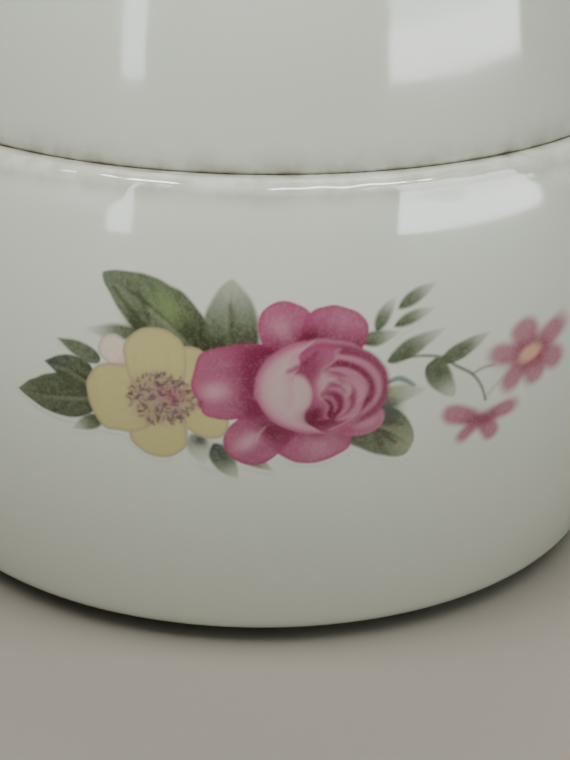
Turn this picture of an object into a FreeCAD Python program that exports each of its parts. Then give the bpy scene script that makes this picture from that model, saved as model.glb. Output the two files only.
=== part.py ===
import FreeCAD, Part
import os
from math import acos, asin, atan2, cos, hypot, pi, sin, sqrt

import Sketcher
from FreeCAD import Placement, Rotation, Vector

# A glazed porcelain powder jar: a barrel-shaped bowl with a ledge round its mouth, a deep domed
# lid that drops into the mouth and is lifted by a knob, loose face powder in the bowl, and a
# powder puff lying on the powder. Everything is turned about +Z. The origin is the middle of
# the foot, on the surface that the jar stands on, and the puff's bow lies along X.

SIZES = [
    # bowl
    ("seat_height", 62.6, "height of the ledge that the lid rests on"),
    ("belly_swell", 5.5, "how far the bowl's widest place stands out past the lid"),
    ("belly_height", 41.0, "height of the widest place"),
    ("lower_arc", 90.0, "radius of the wall's curve below the belly"),
    ("upper_arc", 110.0, "radius of the wall's curve above the belly"),
    ("shoulder_drop", 6.6, "depth below the seat where the shoulder's tighter curve begins"),
    ("shoulder_arc", 40.0, "radius of the shoulder's curve"),
    ("heel_radius", 5.5, "radius that turns the wall under to the foot"),
    ("heel_gap", 1.2, "height of the heel over the table"),
    ("foot_inset", 15.5, "how far the foot ring stands in from the bowl's widest place"),
    ("foot_width", 3.5, "width of the foot ring"),
    ("foot_recess", 2.2, "depth of the hollow inside the foot ring"),
    ("foot_round", 0.5, "rounding of the foot ring's edges"),
    ("bowl_wall", 4.0, "wall thickness of the bowl"),
    ("floor_thickness", 4.4, "thickness of the bowl's floor over the foot hollow"),
    ("floor_corner", 8.0, "inside radius between floor and wall"),
    ("seat_width", 3.4, "width of the seat that the lid's edge rests on"),
    ("mouth_depth", 4.0, "straight depth of the mouth under the ledge"),
    ("gallery_depth", 7.0, "depth at which the wall starts to thicken to the ledge"),
    ("ledge_drop", 0.4, "fall of the ledge from the seat to the outer edge"),
    ("ledge_round", 1.5, "rounding of the bowl's outer rim"),
    ("mouth_round", 0.8, "rounding of the mouth's edge"),
    # lid
    ("lid_radius", 50.0, "outer radius of the lid at its lower edge"),
    ("lid_side_height", 22.0, "height of the lid's nearly upright side"),
    ("lid_side_arc", 108.0, "radius of the side's slight curve"),
    ("lid_shoulder_arc", 17.0, "radius of the lid's shoulder"),
    ("lid_top_arc", 118.0, "radius of the lid's crown"),
    ("lid_wall", 3.6, "wall thickness of the lid"),
    ("lid_edge_round", 0.9, "rounding of the lid's lower outer edge"),
    ("flange_depth", 5.0, "depth of the locating flange below the seat"),
    ("flange_width", 3.2, "width of the locating flange"),
    ("flange_gap", 0.6, "radial clearance of the flange in the mouth"),
    ("flange_root", 4.0, "height over the seat where the flange runs into the wall"),
    ("flange_slope", 4.0, "height of the slope from the flange to the wall"),
    ("flange_round", 0.8, "rounding of the flange's lower edges"),
    # knob
    ("knob_pad", 9.0, "radius of the flat on the crown under the knob"),
    ("knob_base", 8.2, "radius of the knob's foot"),
    ("knob_cove", 3.0, "radius of the hollow between foot and head"),
    ("knob_foot_height", 0.8, "height of the knob's foot"),
    ("knob_side_arc", 4.0, "radius of the head's rounded side"),
    ("knob_top_arc", 11.0, "radius of the head's crown"),
    # powder
    ("powder_level", 24.0, "height of the powder's level surface"),
    ("powder_gap", 0.1, "clearance of the powder's solid in the bowl"),
    # puff
    ("puff_play", 3.3, "clearance of the puff's piping in the bowl's mouth"),
    ("puff_gap", 0.3, "clearance of the puff over the powder and between its layers"),
    ("pile_height", 7.4, "height of the pile round the edge"),
    ("pile_depth", 4.0, "thickness of the pile under the wadding"),
    ("pile_edge", 3.5, "thickness of the pile outside the wadding"),
    ("pile_round", 2.6, "rounding of the pile's edges"),
    ("wadding_side", 5.4, "height of the wadding at its edge"),
    ("wadding_crown", 2.6, "rise of the wadding to its middle"),
    ("satin_thickness", 0.6, "thickness of the satin back with its seam allowance"),
    ("piping_radius", 1.3, "radius of the cord that covers the seam"),
    # bow
    ("ribbon_width", 9.0, "width of the ribbon"),
    ("ribbon_thickness", 0.5, "thickness of the ribbon"),
    ("waist_width", 5.0, "width of the gathered ribbon inside the knot"),
    ("gather_length", 3.0, "length over which the ribbon opens out from the knot"),
    ("loop_length", 15.0, "length of one loop from the knot to its tip"),
    ("loop_height", 6.0, "height of a loop at its tip"),
    ("loop_root", 1.2, "length where a loop's two layers lie flat beside the knot"),
    ("knot_length", 5.0, "length of the knot along the bow"),
    ("knot_wrap", 0.9, "thickness of the knot's band"),
    ("knot_round", 0.8, "rounding of the knot's long edges"),
    ("tail_length", 17.0, "length of one tail from the knot"),
    ("tail_angle", 28.0, "angle between a tail and the bow's length"),
    ("tail_notch", 3.0, "depth of the notch cut into a tail's end"),
]

# What has to fit is worked out from the sizes that it fits.
WORKED_OUT = {
    # bowl
    "mouth_radius": "lid_radius - seat_width",
    "belly_radius": "lid_radius + belly_swell",
    "foot_radius": "belly_radius - foot_inset",
    "foot_inside": "foot_radius - foot_width",
    "floor_height": "foot_recess + floor_thickness",
    "shoulder_height": "seat_height - shoulder_drop",
    "rim_height": "seat_height - ledge_drop",
    "gallery_height": "seat_height - gallery_depth",
    "mouth_floor": "seat_height - mouth_depth",
    # lid
    "flange_outside": "mouth_radius - flange_gap",
    "flange_inside": "flange_outside - flange_width",
    "flange_floor": "seat_height - flange_depth",
    "flange_top": "seat_height + flange_root",
    "slope_top": "flange_top + flange_slope",
    # puff, from the powder upwards
    "puff_radius": "mouth_radius - puff_play - piping_radius",
    "dish_radius": "puff_radius - pile_edge",
    "wadding_radius": "dish_radius - puff_gap",
    "satin_radius": "puff_radius - piping_radius - puff_gap",
    "puff_base": "powder_level + puff_gap",
    "pile_top": "puff_base + pile_height",
    "dish_height": "puff_base + pile_depth",
    "wadding_base": "dish_height + puff_gap",
    "wadding_rim": "wadding_base + wadding_side",
    "wadding_top": "wadding_rim + wadding_crown",
    "satin_rim": "wadding_rim + puff_gap",
    "satin_under": "wadding_top + puff_gap",
    "satin_top": "satin_under + satin_thickness",
    "knot_base": "satin_top + puff_gap",
    "knot_floor": "knot_base + knot_wrap",
    "tails_base": "knot_floor + puff_gap",
    "loops_base": "tails_base + ribbon_thickness + puff_gap",
    "bow_middle": "loops_base + ribbon_thickness",
    "loops_top": "bow_middle + ribbon_thickness",
    "knot_ceiling": "loops_top + puff_gap",
    "knot_inside": "waist_width / 2 + puff_gap",
}

doc = FreeCAD.newDocument("PowderJar")
sheet = doc.addObject("Spreadsheet::Sheet", "Sizes")
for row, (alias, value, note) in enumerate(SIZES, 1):
    sheet.set(f"A{row}", note)
    sheet.set(f"B{row}", str(value))
    sheet.setAlias(f"B{row}", alias)
doc.recompute()


def size(word):
    """The value of a cell, or of a size worked out from cells, in millimetres or degrees."""
    if word not in WORKED_OUT:
        return float(sheet.get(word))
    first, *rest = WORKED_OUT[word].split(" ")
    total = size(first)
    for sign, term in zip(rest[::2], rest[1::2]):
        if sign == "/":
            total /= float(term)
        else:
            total += size(term) if sign == "+" else -size(term)
    return total


def mm(expression):
    """An expression in the words of the sheet, written the way FreeCAD reads it."""
    cells = {alias for alias, _, _ in SIZES}
    written = []
    for word in expression.split(" "):
        if word in WORKED_OUT:
            word = "( " + mm(WORKED_OUT[word]) + " )"
        elif word in cells:
            word = "Sizes." + word
        written.append(word)
    return " ".join(written)


# ---------------------------------------------------------------- sketches and bodies


def new_body(label):
    """A body with a label of its own, which names its file."""
    body = doc.addObject("PartDesign::Body", label)
    body.Label = label
    return body


def new_sketch(body, name, plane="XZ_Plane", offset=None):
    """A sketch on one of the body's own origin planes, lifted along its normal by an expression."""
    sketch = body.newObject("Sketcher::SketchObject", name)
    face = next(f for f in body.Origin.OriginFeatures if f.Role == plane)
    sketch.AttachmentSupport = (face, [""])
    sketch.MapMode = "FlatFace"
    if offset:
        sketch.setExpression("AttachmentOffset.Base.z", offset)
    return sketch


class Outline:
    """Draws a closed outline end to end. Each line or arc starts where the last one ended."""

    def __init__(self, sketch, x, y):
        self.sketch = sketch
        self.first = self.here = (x, y)
        self.first_end = None
        self.last_end = None

    def _join(self, index, start, end, smooth):
        if self.last_end is None:
            self.first_end = (index, start)
        else:
            kind = "Tangent" if smooth else "Coincident"
            self.sketch.addConstraint(Sketcher.Constraint(kind, *self.last_end, index, start))
        self.last_end = (index, end)

    def line(self, x, y, smooth=False):
        """A straight line to (x, y). Upright and level lines are constrained to stay so."""
        here = Vector(*self.here, 0)
        index = self.sketch.addGeometry(Part.LineSegment(here, Vector(x, y, 0)), False)
        self._join(index, 1, 2, smooth)
        if not smooth and abs(x - self.here[0]) < 1e-9:
            self.sketch.addConstraint(Sketcher.Constraint("Vertical", index))
        elif not smooth and abs(y - self.here[1]) < 1e-9:
            self.sketch.addConstraint(Sketcher.Constraint("Horizontal", index))
        self.here = (x, y)
        return index

    def arc(self, centre, angle, smooth=True, clockwise=False):
        """An arc about centre that ends at this angle, measured from +X in radians."""
        began = atan2(self.here[1] - centre[1], self.here[0] - centre[0])
        radius = hypot(self.here[0] - centre[0], self.here[1] - centre[1])
        low, high = (angle, began) if clockwise else (began, angle)
        circle = Part.Circle(Vector(*centre, 0), Vector(0, 0, 1), radius)
        index = self.sketch.addGeometry(Part.ArcOfCircle(circle, low, high), False)
        start, end = (2, 1) if clockwise else (1, 2)
        self._join(index, start, end, smooth)
        self.here = (centre[0] + radius * cos(angle), centre[1] + radius * sin(angle))
        return index

    def close(self, smooth=False):
        """Joins the last end to the first."""
        kind = "Tangent" if smooth else "Coincident"
        self.sketch.addConstraint(Sketcher.Constraint(kind, *self.last_end, *self.first_end))

    # Each of these measures what is drawn, constrains it and binds it to the sheet.
    def _bind(self, constraint, name, expression):
        number = self.sketch.addConstraint(constraint)
        self.sketch.renameConstraint(number, name)
        self.sketch.setExpression("Constraints." + name, mm(expression))

    def radius(self, index, expression, name):
        measured = self.sketch.Geometry[index].Radius
        self._bind(Sketcher.Constraint("Radius", index, measured), name, expression)

    def across(self, index, end, expression, name):
        """The distance of one end of a piece from the axis."""
        measured = self.sketch.getPoint(index, end).x
        self._bind(Sketcher.Constraint("DistanceX", -1, 1, index, end, measured), name, expression)

    def up(self, index, end, expression, name):
        """The height of one end of a piece over the table."""
        measured = self.sketch.getPoint(index, end).y
        self._bind(Sketcher.Constraint("DistanceY", -1, 1, index, end, measured), name, expression)

    def on_axis(self, index, end):
        self.sketch.addConstraint(Sketcher.Constraint("PointOnObject", index, end, -2))

    def level_centre(self, arc, end):
        """Keeps an arc's centre at the height of one of its ends, so it runs upright there."""
        self.sketch.addConstraint(Sketcher.Constraint("Horizontal", arc, 3, arc, end))


def turn(body, sketch, name, cut=False):
    """A full turn of a sketch about the body's Z axis, as a revolution or as a groove."""
    kind = "PartDesign::Groove" if cut else "PartDesign::Revolution"
    feature = body.newObject(kind, name)
    feature.Profile = sketch
    axis = next(f for f in body.Origin.OriginFeatures if f.Role == "Z_Axis")
    feature.ReferenceAxis = (axis, [""])
    feature.Angle = 360.0
    before = body.Shape.Volume if cut else 0.0
    doc.recompute()
    if cut and feature.Shape.Volume > before - 1.0:
        raise RuntimeError(f"{name} took nothing away")
    return feature


def ring_edges(feature, *rings):
    """The names of the round edges of a feature at these (radius, height) pairs."""
    names = []
    for radius, height in rings:
        for number, edge in enumerate(feature.Shape.Edges, 1):
            curve = edge.Curve
            if not isinstance(curve, Part.Circle):
                continue
            if abs(curve.Radius - radius) < 0.02 and abs(curve.Center.z - height) < 0.02:
                names.append(f"Edge{number}")
                break
        else:
            raise RuntimeError(f"no edge of radius {radius:.2f} at {height:.2f} in {feature.Name}")
    return names


def round_over(body, base, edges, alias, name):
    """A fillet on named edges whose radius is one of the sheet's cells."""
    fillet = body.newObject("PartDesign::Fillet", name)
    fillet.Base = (base, edges)
    fillet.setExpression("Radius", mm(alias))
    doc.recompute()
    return fillet


# ---------------------------------------------------------------- the bowl


def wall_centres(offset):
    """Centres of the two big arcs of the bowl's wall, and where the heel's arc sits inside them."""
    lower = (size("belly_radius") - size("lower_arc"), size("belly_height"))
    upper = (size("belly_radius") - size("upper_arc"), size("belly_height"))
    corner = size("heel_radius") if not offset else size("floor_corner")
    floor = size("heel_gap") if not offset else size("floor_height") + offset - size("bowl_wall")
    height = floor + corner
    reach = size("lower_arc") - offset - corner
    corner_centre = (lower[0] + sqrt(reach**2 - (lower[1] - height) ** 2), height)
    return lower, upper, corner_centre


def make_bowl():
    """A turned body, hollowed inside and under the foot."""
    body = new_body("bowl")

    # Outside: foot ring, heel, lower wall, upper wall, shoulder and ledge.
    lower, upper, heel = wall_centres(0.0)
    join = atan2(heel[1] - lower[1], heel[0] - lower[0])
    shoulder_angle = asin((size("shoulder_height") - size("belly_height")) / size("upper_arc"))
    reach = size("upper_arc") - size("shoulder_arc")
    shoulder = (upper[0] + reach * cos(shoulder_angle), upper[1] + reach * sin(shoulder_angle))
    rim_height = size("rim_height")
    rim_angle = asin((rim_height - shoulder[1]) / size("shoulder_arc"))
    rim_radius = shoulder[0] + size("shoulder_arc") * cos(rim_angle)

    pen = Outline(new_sketch(body, "BowlOutside"), 0.0, 0.0)
    sole = pen.line(size("foot_radius"), 0.0)
    foot_side = pen.line(size("foot_radius"), size("heel_gap"))
    pen.line(heel[0], size("heel_gap"))
    heel_arc = pen.arc(heel, join)
    lower_arc = pen.arc(lower, 0.0)
    upper_arc = pen.arc(upper, shoulder_angle)
    shoulder_arc = pen.arc(shoulder, rim_angle)
    ledge = pen.line(size("lid_radius"), size("seat_height"))
    top = pen.line(0.0, size("seat_height"))
    pen.line(0.0, 0.0)
    pen.close()
    pen.sketch.addConstraint(Sketcher.Constraint("Coincident", sole, 1, -1, 1))
    pen.across(sole, 2, "foot_radius", "foot_radius")
    pen.up(foot_side, 2, "heel_gap", "heel_gap")
    pen.radius(heel_arc, "heel_radius", "heel_radius")
    pen.radius(lower_arc, "lower_arc", "lower_arc")
    pen.level_centre(lower_arc, 2)
    pen.across(lower_arc, 2, "belly_radius", "belly_radius")
    pen.up(lower_arc, 2, "belly_height", "belly_height")
    pen.radius(upper_arc, "upper_arc", "upper_arc")
    pen.up(upper_arc, 2, "shoulder_height", "shoulder_height")
    pen.radius(shoulder_arc, "shoulder_arc", "shoulder_arc")
    pen.up(shoulder_arc, 2, "rim_height", "rim_height")
    pen.across(ledge, 2, "lid_radius", "seat_radius")
    pen.up(top, 2, "seat_height", "seat_height")
    turn(body, pen.sketch, "BowlSolid")

    # Inside: floor, corner and wall, thickening to the mouth under the ledge.
    wall = size("bowl_wall")
    lower, upper, corner = wall_centres(wall)
    floor = size("floor_height")
    join = atan2(corner[1] - lower[1], corner[0] - lower[0])
    gallery_angle = asin((size("gallery_height") - upper[1]) / (size("upper_arc") - wall))

    pen = Outline(new_sketch(body, "BowlInside"), 0.0, floor)
    floor_line = pen.line(corner[0], floor)
    corner_arc = pen.arc(corner, join)
    lower_arc = pen.arc(lower, 0.0)
    upper_arc = pen.arc(upper, gallery_angle)
    slope = pen.line(size("mouth_radius"), size("mouth_floor"))
    mouth = pen.line(size("mouth_radius"), size("seat_height") + wall)
    pen.line(0.0, size("seat_height") + wall)
    pen.line(0.0, floor)
    pen.close()
    pen.on_axis(floor_line, 1)
    pen.up(floor_line, 1, "floor_height", "floor_height")
    pen.radius(corner_arc, "floor_corner", "floor_corner")
    pen.radius(lower_arc, "lower_arc - bowl_wall", "lower_arc")
    pen.level_centre(lower_arc, 2)
    pen.across(lower_arc, 2, "belly_radius - bowl_wall", "belly_radius")
    pen.up(lower_arc, 2, "belly_height", "belly_height")
    pen.radius(upper_arc, "upper_arc - bowl_wall", "upper_arc")
    pen.up(upper_arc, 2, "gallery_height", "gallery_height")
    pen.across(slope, 2, "mouth_radius", "mouth_radius")
    pen.up(slope, 2, "mouth_floor", "mouth_floor")
    pen.up(mouth, 2, "seat_height + bowl_wall", "cut_height")
    turn(body, pen.sketch, "BowlHollow", cut=True)

    # Under the foot: a shallow hollow that leaves the foot ring.
    ring = size("foot_inside")
    pen = Outline(new_sketch(body, "FootHollow"), 0.0, 0.0)
    mouth = pen.line(ring, 0.0)
    side = pen.line(ring, size("foot_recess"))
    pen.line(0.0, size("foot_recess"))
    pen.line(0.0, 0.0)
    pen.close()
    pen.sketch.addConstraint(Sketcher.Constraint("Coincident", mouth, 1, -1, 1))
    pen.across(mouth, 2, "foot_inside", "ring_radius")
    pen.up(side, 2, "foot_recess", "recess")
    hollow = turn(body, pen.sketch, "FootRing", cut=True)

    edges = ring_edges(hollow, (rim_radius, rim_height))
    rim = round_over(body, hollow, edges, "ledge_round", "RimRound")
    edges = ring_edges(rim, (size("mouth_radius"), size("seat_height")))
    mouth = round_over(body, rim, edges, "mouth_round", "MouthRound")
    edges = ring_edges(mouth, (size("foot_radius"), 0.0), (ring, 0.0))
    round_over(body, mouth, edges, "foot_round", "FootRound")
    return body


# ---------------------------------------------------------------- the lid and its knob


def lid_arcs(inset):
    """Centres of the lid's side, shoulder and crown arcs, and the angles where they meet."""
    seat = size("seat_height")
    side = (size("lid_radius") - size("lid_side_arc"), seat)
    side_angle = asin(size("lid_side_height") / size("lid_side_arc"))
    reach = size("lid_side_arc") - size("lid_shoulder_arc")
    shoulder = (side[0] + reach * cos(side_angle), side[1] + reach * sin(side_angle))
    crown_angle = acos(shoulder[0] / (size("lid_top_arc") - size("lid_shoulder_arc")))
    drop = (size("lid_top_arc") - size("lid_shoulder_arc")) * sin(crown_angle)
    crown = (0.0, shoulder[1] - drop)
    pad_angle = acos(size("knob_pad") / size("lid_top_arc"))
    pad_height = crown[1] + size("lid_top_arc") * sin(pad_angle)
    return side, side_angle, shoulder, crown_angle, crown, pad_angle, pad_height - inset


def draw_lid_arcs(pen, inset, stop_angle):
    """The side, shoulder and crown, bound to the sheet, inset by the wall or by nothing."""
    side, side_angle, shoulder, crown_angle, crown, _, _ = lid_arcs(0.0)
    less = " - lid_wall" if inset else ""
    side_arc = pen.arc(side, side_angle, smooth=False)
    shoulder_arc = pen.arc(shoulder, crown_angle)
    crown_arc = pen.arc(crown, stop_angle)
    pen.radius(side_arc, "lid_side_arc" + less, "side_arc")
    pen.radius(shoulder_arc, "lid_shoulder_arc" + less, "shoulder_arc")
    pen.radius(crown_arc, "lid_top_arc" + less, "top_arc")
    pen.on_axis(crown_arc, 3)
    return side_arc, shoulder_arc, crown_arc


def make_lid():
    """A turned dome with a flat for the knob, a flange that drops into the mouth, and a hollow."""
    body = new_body("lid")
    seat = size("seat_height")
    side, _, _, _, _, pad_angle, pad_height = lid_arcs(0.0)

    pen = Outline(new_sketch(body, "LidOutside"), 0.0, seat)
    seat_line = pen.line(size("lid_radius"), seat)
    side_arc, shoulder_arc, crown_arc = draw_lid_arcs(pen, 0.0, pad_angle)
    pen.line(0.0, pad_height)
    pen.line(0.0, seat)
    pen.close()
    pen.on_axis(seat_line, 1)
    pen.up(seat_line, 1, "seat_height", "seat_height")
    pen.across(seat_line, 2, "lid_radius", "lid_radius")
    pen.level_centre(side_arc, 1)
    pen.up(side_arc, 2, "seat_height + lid_side_height", "side_top")
    pen.across(crown_arc, 2, "knob_pad", "pad_radius")
    turn(body, pen.sketch, "LidSolid")

    # The flange hangs inside the mouth and reaches up into the solid dome.
    outer = size("flange_outside")
    inner = size("flange_inside")
    low = size("flange_floor")
    root = size("flange_top")
    pen = Outline(new_sketch(body, "FlangeRing"), inner, low)
    under = pen.line(outer, low)
    pen.line(outer, root)
    over = pen.line(inner, root)
    pen.line(inner, low)
    pen.close()
    pen.across(under, 1, "flange_inside", "inner_radius")
    pen.across(under, 2, "flange_outside", "outer_radius")
    pen.up(under, 1, "flange_floor", "flange_floor")
    pen.up(over, 1, "flange_top", "flange_top")
    turn(body, pen.sketch, "Flange")

    # The hollow: straight up inside the flange, a slope out to the wall, then the dome's curves.
    wall = size("lid_wall")
    slope_top = size("slope_top")
    inside_arc = size("lid_side_arc") - wall
    slope_angle = asin((slope_top - seat) / inside_arc)
    slope_radius = side[0] + inside_arc * cos(slope_angle)
    pen = Outline(new_sketch(body, "LidInside"), 0.0, low - wall)
    bottom = pen.line(inner, low - wall)
    bore = pen.line(inner, root)
    slope = pen.line(slope_radius, slope_top)
    side_arc, shoulder_arc, crown_arc = draw_lid_arcs(pen, wall, pi / 2)
    pen.line(0.0, low - wall)
    pen.close()
    pen.on_axis(bottom, 1)
    pen.up(bottom, 1, "flange_floor - lid_wall", "cut_floor")
    pen.across(bottom, 2, "flange_inside", "bore_radius")
    pen.up(bore, 2, "flange_top", "root_height")
    pen.up(slope, 2, "slope_top", "slope_top")
    pen.across(side_arc, 3, "lid_radius - lid_side_arc", "side_centre")
    pen.up(side_arc, 3, "seat_height", "side_centre_height")
    pen.up(
        side_arc,
        2,
        "seat_height + lid_side_height * ( lid_side_arc - lid_wall ) / lid_side_arc",
        "side_top",
    )
    hollow = turn(body, pen.sketch, "LidHollow", cut=True)

    edges = ring_edges(hollow, (size("lid_radius"), seat))
    edge = round_over(body, hollow, edges, "lid_edge_round", "LidEdgeRound")
    edges = ring_edges(edge, (outer, low), (inner, low))
    round_over(body, edge, edges, "flange_round", "FlangeRound")
    return body


def make_lid_knob():
    """A turned button: a foot that sits on the lid's flat, a cove, and a rounded head."""
    body = new_body("lid_knob")
    pad_height = lid_arcs(0.0)[-1]
    foot_top = size("knob_foot_height")
    neck = size("knob_base") - size("knob_cove")
    cove = (size("knob_base"), foot_top + size("knob_cove"))
    head = (neck, cove[1] + size("knob_side_arc"))
    reach = size("knob_top_arc") - size("knob_side_arc")
    crown_angle = acos(head[0] / reach)
    crown = (0.0, head[1] - reach * sin(crown_angle))

    pen = Outline(new_sketch(body, "KnobOutline"), 0.0, 0.0)
    sole = pen.line(size("knob_base"), 0.0)
    side = pen.line(size("knob_base"), foot_top)
    cove_arc = pen.arc(cove, pi, smooth=False, clockwise=True)
    head_arc = pen.arc(head, crown_angle, smooth=False)
    crown_arc = pen.arc(crown, pi / 2)
    pen.line(0.0, 0.0)
    pen.close()
    pen.sketch.addConstraint(Sketcher.Constraint("Coincident", sole, 1, -1, 1))
    pen.across(sole, 2, "knob_base", "base_radius")
    pen.up(side, 2, "knob_foot_height", "foot_height")
    pen.radius(cove_arc, "knob_cove", "cove")
    pen.across(cove_arc, 3, "knob_base", "cove_centre")
    pen.up(cove_arc, 1, "knob_foot_height + knob_cove", "neck_height")
    pen.radius(head_arc, "knob_side_arc", "head_arc")
    pen.across(head_arc, 3, "knob_base - knob_cove", "head_centre")
    pen.radius(crown_arc, "knob_top_arc", "crown_arc")
    pen.on_axis(crown_arc, 3)
    turn(body, pen.sketch, "KnobSolid")
    body.Placement = Placement(Vector(0, 0, pad_height), Rotation())
    return body


# ---------------------------------------------------------------- the powder


def make_powder():
    """Loose powder that fills the bottom of the bowl to a level surface."""
    body = new_body("powder_fill")
    inset = size("bowl_wall") + size("powder_gap")
    lower, _, corner = wall_centres(inset)
    floor = size("floor_height") + size("powder_gap")
    join = atan2(corner[1] - lower[1], corner[0] - lower[0])
    level_angle = asin((size("powder_level") - lower[1]) / (size("lower_arc") - inset))

    pen = Outline(new_sketch(body, "PowderOutline"), 0.0, floor)
    floor_line = pen.line(corner[0], floor)
    corner_arc = pen.arc(corner, join)
    wall_arc = pen.arc(lower, level_angle)
    pen.line(0.0, size("powder_level"))
    pen.line(0.0, floor)
    pen.close()
    pen.on_axis(floor_line, 1)
    pen.up(floor_line, 1, "floor_height + powder_gap", "floor_height")
    pen.radius(corner_arc, "floor_corner", "corner")
    pen.radius(wall_arc, "lower_arc - bowl_wall - powder_gap", "wall_arc")
    pen.across(wall_arc, 3, "belly_radius - lower_arc", "wall_centre")
    pen.up(wall_arc, 3, "belly_height", "wall_centre_height")
    pen.up(wall_arc, 2, "powder_level", "level")
    turn(body, pen.sketch, "PowderSolid")
    return body


# ---------------------------------------------------------------- the puff


def dome_radius(half_width, rise):
    """Radius of an arc that rises this much over this half width."""
    return (half_width**2 + rise**2) / (2 * rise)


def make_puff_pile():
    """The velour face: a dish of pile that wraps the wadding's underside and edge."""
    body = new_body("puff_pile")
    base = size("puff_base")
    pile_top = size("pile_top")
    outer = size("puff_radius")
    inner = size("dish_radius")
    dish = size("dish_height")
    pen = Outline(new_sketch(body, "PileOutline"), 0.0, base)
    under = pen.line(outer, base)
    edge = pen.line(outer, pile_top)
    top = pen.line(inner, pile_top)
    drop = pen.line(inner, dish)
    pen.line(0.0, dish)
    pen.line(0.0, base)
    pen.close()
    pen.on_axis(under, 1)
    pen.up(under, 1, "puff_base", "base")
    pen.across(under, 2, "puff_radius", "outer_radius")
    pen.up(edge, 2, "pile_top", "pile_top")
    pen.across(top, 2, "dish_radius", "inner_radius")
    pen.up(drop, 2, "dish_height", "dish")
    solid = turn(body, pen.sketch, "PileSolid")
    edges = ring_edges(solid, (outer, base))
    round_over(body, solid, edges, "pile_round", "PileRound")
    return body


def make_puff_wadding():
    """The filling: a disc with a domed top, inside the pile."""
    body = new_body("puff_wadding")
    base = size("wadding_base")
    radius = size("wadding_radius")
    side_top = size("wadding_rim")
    dome = dome_radius(radius, size("wadding_crown"))
    centre = (0.0, size("wadding_top") - dome)
    pen = Outline(new_sketch(body, "WaddingOutline"), 0.0, base)
    under = pen.line(radius, base)
    side = pen.line(radius, side_top)
    top = pen.arc(centre, pi / 2, smooth=False)
    pen.line(0.0, base)
    pen.close()
    pen.on_axis(under, 1)
    pen.up(under, 1, "wadding_base", "base")
    pen.across(under, 2, "wadding_radius", "radius")
    pen.up(side, 2, "wadding_rim", "side_top")
    pen.up(top, 2, "wadding_top", "crown")
    pen.on_axis(top, 3)
    turn(body, pen.sketch, "WaddingSolid")
    return body


def make_puff_satin_back():
    """The back: a thin domed disc of satin over the wadding."""
    body = new_body("puff_satin_back")
    radius = size("satin_radius")
    rim = size("satin_rim")
    under = dome_radius(radius, size("satin_under") - rim)
    centre = (0.0, size("satin_under") - under)
    rim_angle = acos(radius / (under + size("satin_thickness")))
    pen = Outline(new_sketch(body, "SatinOutline"), radius, rim)
    inner_arc = pen.arc(centre, pi / 2)
    pen.line(0.0, size("satin_top"))
    outer_arc = pen.arc(centre, rim_angle, smooth=False, clockwise=True)
    pen.line(radius, rim)
    pen.close()
    pen.across(inner_arc, 1, "satin_radius", "radius")
    pen.up(inner_arc, 1, "satin_rim", "rim")
    pen.up(inner_arc, 2, "satin_under", "crown")
    pen.on_axis(inner_arc, 2)
    pen.on_axis(inner_arc, 3)
    pen.sketch.addConstraint(Sketcher.Constraint("Coincident", inner_arc, 3, outer_arc, 3))
    pen.up(outer_arc, 2, "satin_top", "crown_top")
    turn(body, pen.sketch, "SatinSolid")
    return body


def make_puff_piping():
    """The cord sewn round the seam between the pile and the satin."""
    piping = doc.addObject("Part::Torus", "puff_piping")
    piping.Label = "puff_piping"
    piping.setExpression("Radius1", mm("puff_radius"))
    piping.setExpression("Radius2", mm("piping_radius"))
    height = size("pile_top") + size("piping_radius") + size("puff_gap")
    piping.Placement = Placement(Vector(0, 0, height), Rotation())
    return piping


# ---------------------------------------------------------------- the bow


def tangent_angle(centre, radius, point):
    """Angle on a circle of the upper place where a straight line from this point touches it."""
    away = hypot(point[0] - centre[0], point[1] - centre[1])
    towards = atan2(point[1] - centre[1], point[0] - centre[0])
    return towards - acos(radius / away)


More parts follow.
